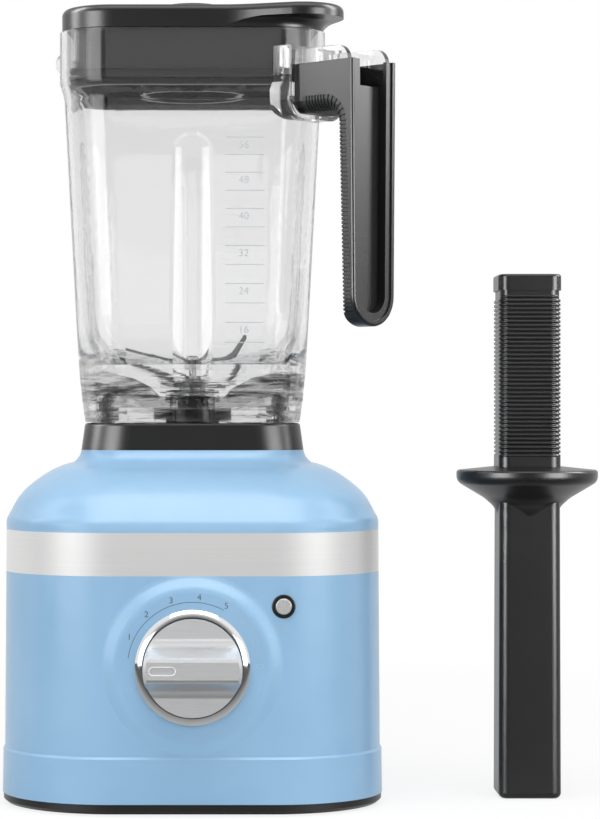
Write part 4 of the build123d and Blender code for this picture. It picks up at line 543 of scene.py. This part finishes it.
def dress_nodes():
    """Every CAD node takes its own finish, or the one of its slot in the record."""
    made = {}
    for name, piece in nodes.items():
        make = NODE_MATERIALS.get(name) or SLOT_MATERIALS[slot_of[name]]
        if make not in made:
            made[make] = make()
        piece.data.materials.clear()
        piece.data.materials.append(made[make])


def spring_coil():
    """A copy of the button's spring, riding on the base, in place of the hidden CAD node."""
    spring = nodes["button_spring"]
    coil = bpy.data.objects.new("spring_coil", spring.data.copy())
    bpy.context.scene.collection.objects.link(coil)
    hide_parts("button_spring")
    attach(coil, "base")
    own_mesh(coil)


def ribbon(points, width, closed=False):
    """A flat line of even width through points in a plane, as the quads between its two edges."""
    count = len(points)
    edges = []
    for index, point in enumerate(points):
        before = points[index - 1] if closed or index else point
        after = points[(index + 1) % count] if closed or index + 1 < count else point
        along = (Vector(after) - Vector(before)).normalized()
        across = Vector((-along.y, along.x)) * width / 2
        edges.append((Vector(point) + across, Vector(point) - across))
    runs = count if closed else count - 1
    return [(*edges[n], *reversed(edges[(n + 1) % count])) for n in range(runs)]


def arc(centre, radius, start, end, steps=ARC_STEPS):
    """Points along an arc between two angles in degrees."""
    turns = [math.radians(start + (end - start) * n / steps) for n in range(steps + 1)]
    return [(centre[0] + radius * math.cos(t), centre[1] + radius * math.sin(t)) for t in turns]


def ring(centre, radius):
    """Points round a circle, without the first one again at its end."""
    return arc(centre, radius, 0, 360 - 360 / RING_STEPS, RING_STEPS - 1)


def about(centre, half, corners):
    """Points that are given in shares of half a symbol's size, round its centre."""
    x, z = centre
    return [(x + half * across, z + half * up) for across, up in corners]


def digits(text, size, centre):
    """The outlines of plain figures, as flat polygons about a centre."""
    curve = bpy.data.curves.new("figures", "FONT")
    curve.body = text
    curve.size = size
    curve.align_x = "CENTER"
    curve.align_y = "CENTER"
    carrier = bpy.data.objects.new("figures", curve)
    bpy.context.scene.collection.objects.link(carrier)
    flat = bpy.data.meshes.new_from_object(carrier)
    shift = Vector(centre)
    shapes = [[flat.vertices[v].co.xy + shift for v in face.vertices] for face in flat.polygons]
    bpy.data.objects.remove(carrier)
    bpy.data.curves.remove(curve)
    bpy.data.meshes.remove(flat)
    return shapes


def printed(name, shapes, target, body, material):
    """A thin film, of print or of painted highlight: flat shapes in (x, z), laid from the front on a CAD
    node's own surface.
    """
    form = bmesh.new()
    for shape in shapes:
        corners = [form.verts.new((x, 0, z)) for x, z in shape]
        form.faces.new(corners)
    bmesh.ops.remove_doubles(form, verts=form.verts, dist=FILM_MERGE)
    long_edges = [edge for edge in form.edges if edge.calc_length() > MARK_STEP]
    bmesh.ops.subdivide_edges(form, edges=long_edges, cuts=MARK_CUTS, use_grid_fill=True)
    surface = nodes[target]
    for corner in form.verts:
        start = Vector((corner.co.x, -CAMERA_DISTANCE, corner.co.z))
        hit, place, _, _ = surface.ray_cast(start, BACKWARDS)
        corner.co.y = place.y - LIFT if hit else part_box(target)[0].y
    bmesh.ops.recalc_face_normals(form, faces=form.faces)
    mesh = bpy.data.meshes.new(name)
    form.to_mesh(mesh)
    form.free()
    piece = bpy.data.objects.new(name, mesh)
    bpy.context.scene.collection.objects.link(piece)
    thick = piece.modifiers.new("film", "SOLIDIFY")
    thick.thickness = FILM
    thick.offset = 0.0
    mesh.materials.append(material)
    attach(piece, body)


def front_centre(node):
    """The middle of a node as it is seen from the front."""
    low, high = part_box(node)
    return ((low.x + high.x) / 2, (low.z + high.z) / 2)


def on_dial(angle, radius):
    x, z = front_centre("dial_bezel")
    turn = math.radians(angle)
    return (x + radius * math.cos(turn), z + radius * math.sin(turn))


def speed_marks():
    """Plain figures for the speeds, and the thin line that runs under them."""
    shapes = []
    for index in range(NUMERAL_COUNT):
        angle = FIRST_NUMERAL_ANGLE + index * NUMERAL_STEP
        shapes += digits(str(index + 1), NUMERAL_SIZE, on_dial(angle, NUMERAL_RADIUS))
    line = arc(front_centre("dial_bezel"), SPEED_LINE_RADIUS, *SPEED_LINE_ANGLES, SPEED_LINE_STEPS)
    return shapes + ribbon(line, SPEED_LINE_WIDTH)


def pulse_mark(centre, half):
    """A square wave."""
    return ribbon(about(centre, half, PULSE_CORNERS), ICON_LINE)


def cup_mark(centre, half):
    """A tapered cup."""
    return ribbon(about(centre, half, CUP_CORNERS), ICON_LINE, closed=True)


def star_mark(centre, half):
    """Three lines that cross, for ice."""
    shapes = []
    for angle in STAR_ANGLES:
        ends = arc(centre, half, angle + 180, angle, steps=1)
        shapes += ribbon(ends, ICON_LINE)
    return shapes


def bowl_mark(centre, half):
    """A half round with a level rim."""
    x, z = centre
    bowl = arc((x, z + half * BOWL_RISE), half, 180, 360)
    return ribbon(bowl, ICON_LINE) + ribbon([bowl[0], bowl[-1]], ICON_LINE)


def ring_mark(centre, half):
    return ribbon(ring(centre, half), ICON_LINE, closed=True)


def program_marks():
    """Generic symbols: pulse, off, and one for each of the four programs."""
    shapes = pulse_mark(on_dial(PULSE_ANGLE, ICON_RADIUS), PULSE_HALF)
    shapes += ring_mark(on_dial(OFF_ANGLE, ICON_RADIUS), OFF_HALF)
    for make, angle in zip((star_mark, cup_mark, bowl_mark, ring_mark), PROGRAM_ANGLES):
        shapes += make(on_dial(angle, ICON_RADIUS), ICON_HALF)
    return shapes


def start_marks():
    """A start triangle, and a stop square in a ring, below the start button."""
    x, z = front_centre("start_button")
    start, stop = ((x + offset, z - START_MARK_DROP) for offset in START_MARK_OFFSET)
    shapes = ribbon(about(start, START_MARK_HALF, TRIANGLE_CORNERS), ICON_LINE, closed=True)
    shapes += ribbon(about(stop, STOP_SQUARE_HALF, SQUARE_CORNERS), ICON_LINE, closed=True)
    return shapes + ring_mark(stop, START_MARK_HALF)


def pointer_mark():
    """A painted highlight round the edge of the knob's engraved pointer."""
    x, z = front_centre("dial_bezel")
    left = x + POINTER_CENTRE - POINTER_STRAIGHT / 2
    right = x + POINTER_CENTRE + POINTER_STRAIGHT / 2
    outline = arc((left, z), POINTER_RADIUS, 90, 270) + arc((right, z), POINTER_RADIUS, -90, 90)
    return ribbon(outline, POINTER_HIGHLIGHT_WIDTH, closed=True)


def jar_marks():
    """Measuring lines on the jar's front wall, wider apart towards its floor, and their plain figures."""
    left, right = TICK_X
    shapes = []
    for index in range(TICK_COUNT):
        z = TICK_HIGH - TICK_STEP * index - TICK_GROWTH * index * (index - 1) / 2
        line = [(left + (right - left) * n / TICK_PARTS, z) for n in range(TICK_PARTS + 1)]
        shapes += ribbon(line, TICK_WIDTH)
        if index % JAR_NUMBER_EVERY == 0:
            number = JAR_NUMBER_TOP - JAR_NUMBER_STEP * index // JAR_NUMBER_EVERY
            shapes += digits(str(number), JAR_NUMBER_SIZE, (JAR_NUMBER_X, z - JAR_NUMBER_DROP))
    return shapes


def print_marks():
    """All films, each riding on the body of the piece that it lies on: the prints, and the painted highlight
    round the pointer.
    """
    printed("speed_marks", speed_marks(), "base_housing", "base", dark_print())
    pale = pale_print()
    printed("program_marks", program_marks(), "base_housing", "base", pale)
    printed("start_marks", start_marks(), "base_housing", "base", pale)
    printed("measuring_marks", jar_marks(), "jar", "jar", frosted_print())
    # Painted highlight round the pointer's edge, laid as a near-white film.
    printed("pointer_mark", pointer_mark(), "control_knob", "knob", white_print())


def make_world():
    """White where it is seen, also in metal and through glass; dimmer in mirrors of the room's front."""
    world = bpy.data.worlds.new("studio")
    bpy.context.scene.world = world
    sky = Shading(world)
    path = sky.add("ShaderNodeLightPath").outputs
    direction = sky.add("ShaderNodeTexCoord").outputs["Generated"]
    back = sky.add("ShaderNodeSeparateXYZ", Vector=direction).outputs["Y"]
    room = sky.faded(back, ROOM_LIGHT, BACKGROUND_LIGHT, ROOM_FADE)
    bounced = sky.joined("MAXIMUM", path["Is Glossy Ray"], path["Is Transmission Ray"])
    mirrored = sky.joined("MULTIPLY", bounced, room)
    seen = sky.joined("MULTIPLY", path["Is Camera Ray"], BACKGROUND_LIGHT)
    lighting = sky.joined("MULTIPLY", path["Is Diffuse Ray"], WORLD_LIGHT)
    level = sky.joined("MAXIMUM", sky.joined("MAXIMUM", mirrored, seen), lighting)
    sky.fill(sky.tree.nodes["Background"], {"Color": WHITE, "Strength": level})


def floor_material():
    """Pale floor that takes the object's shadow, and goes over into the white background far from it."""
    floor = Surface("studio_floor", Base_Color=FLOOR_COLOUR, Roughness=FLOOR_ROUGHNESS)
    floor.set(Specular_IOR_Level=0.0)
    path = floor.add("ShaderNodeLightPath").outputs
    place = floor.place()
    distance = floor.add("ShaderNodeVectorMath", {"operation": "LENGTH"}, Vector=place).outputs["Value"]
    back = floor.add("ShaderNodeSeparateXYZ", Vector=place).outputs["Y"]
    seen = floor.joined("MAXIMUM", path["Is Camera Ray"], path["Is Transmission Ray"])
    share = floor.faded(distance, 1 - FLOOR_SHADOW_SHARE, 1.0, FLOOR_FADE)
    glowing = floor.joined("MAXIMUM", floor.joined("MULTIPLY", seen, share), path["Is Glossy Ray"])
    mirrored = floor.faded(back, FLOOR_MIRROR_DARK, BACKGROUND_LIGHT, FLOOR_MIRROR_FADE)
    glow = floor.add("ShaderNodeEmission", Strength=floor.joined("MAXIMUM", seen, mirrored))
    floor.blend(glowing, glow.outputs["Emission"])
    return floor.material


def make_floor():
    corners = [(x * FLOOR_HALF, y * FLOOR_HALF, -FLOOR_DROP) for x, y in SQUARE_CORNERS]
    mesh = bpy.data.meshes.new("floor")
    mesh.from_pydata(corners, [], [range(len(corners))])
    floor = bpy.data.objects.new("floor", mesh)
    bpy.context.scene.collection.objects.link(floor)
    mesh.materials.append(floor_material())


def area_light(name, place, size, radiance):
    """A soft box that faces the object, as bright as its radiance says."""
    lamp = bpy.data.lights.new(name, "AREA")
    lamp.shape = "RECTANGLE"
    lamp.size, lamp.size_y = size
    lamp.energy = radiance * math.pi * size[0] * size[1]
    light = bpy.data.objects.new(name, lamp)
    bpy.context.scene.collection.objects.link(light)
    light.location = place
    facing = Vector(STUDIO_CENTRE) - Vector(place)
    light.rotation_euler = facing.to_track_quat("-Z", "Y").to_euler()
    return light


def receivers(name, names):
    """A group of CAD nodes that a box is meant for, or leaves out."""
    group = bpy.data.collections.new(name)
    for node in names:
        group.objects.link(nodes[node])
    return group


def in_slots(slots):
    """The CAD nodes whose slot in the record is one of these."""
    return [name for name in nodes if slot_of[name] in slots]


def gloss_light(name, place, size, radiance, group=None):
    """A soft box that only gloss shows, on every piece or on those of a group."""
    light = area_light(name, place, size, radiance)
    light.visible_diffuse = False
    light.light_linking.receiver_collection = group


def around(angle, distance, height):
    """A place round the object: 0 degrees is towards the camera, more is to its right."""
    turn = math.radians(angle)
    x, y, _ = STUDIO_CENTRE
    return (x + distance * math.sin(turn), y - distance * math.cos(turn), height)


def top_light():
    """Soft light from above, on all but the nodes whose slopes it would burn out."""
    top = area_light("top_box", (STUDIO_CENTRE[0], TOP_FORWARD, TOP_HEIGHT), TOP_SIZE, TOP_RADIANCE)
    left_out = receivers("not_under_top_box", TOP_LEFT_OUT)
    for item in left_out.collection_objects:
        item.light_linking.link_state = "EXCLUDE"
    top.light_linking.receiver_collection = left_out


def side_lights():
    """Tall boxes at both sides that only gloss shows, and stronger ones before them for the black pieces."""
    black = receivers("black_pieces", in_slots(BLACK_SLOTS))
    for angle, height, size in STRIPS:
        for side in (-1, 1):
            gloss_light("side_box", around(side * angle, STRIP_DISTANCE, height), size, STRIP_RADIANCE)
            nearer = around(side * angle, STRIP_DISTANCE - STRIP_APART, height)
            gloss_light("black_side_box", nearer, size, STRIP_BLACK_RADIANCE, black)


def make_lights():
    """Light from above and from the front, and boxes for gloss: at the sides, on paint and on metal."""
    top_light()
    fill = area_light("front_fill", around(0, FILL_DISTANCE, FILL_HEIGHT), FILL_SIZE, FILL_RADIANCE)
    fill.visible_glossy = False
    side_lights()
    painted = receivers("painted_pieces", in_slots(PAINT_SLOTS))
    gloss_light("high_box", around(0, HIGH_DISTANCE, HIGH_HEIGHT), HIGH_SIZE, HIGH_RADIANCE, painted)
    metal = receivers("satin_pieces", CARD_NODES)
    gloss_light("front_card", around(0, CARD_DISTANCE, CARD_HEIGHT), CARD_SIZE, CARD_RADIANCE, metal)


def make_camera():
    """A level camera, shifted so that its picture has the photograph's frame."""
    data = bpy.data.cameras.new("camera")
    data.sensor_width = SENSOR
    data.lens = FOCAL_PIXELS / PHOTO_HEIGHT * SENSOR
    data.shift_x = (PHOTO_WIDTH / 2 - AXIS_PIXEL) / PHOTO_HEIGHT
    data.shift_y = (HORIZON_PIXEL - PHOTO_HEIGHT / 2) / PHOTO_HEIGHT
    camera = bpy.data.objects.new("camera", data)
    bpy.context.scene.collection.objects.link(camera)
    camera.location = (0, -CAMERA_DISTANCE, CAMERA_HEIGHT)
    camera.rotation_euler = (math.radians(90), 0, 0)
    bpy.context.scene.camera = camera


make_camera()
make_world()
make_floor()
make_lights()
dress_nodes()
spring_coil()
print_marks()
bpy.context.scene.view_settings.view_transform = "Standard"
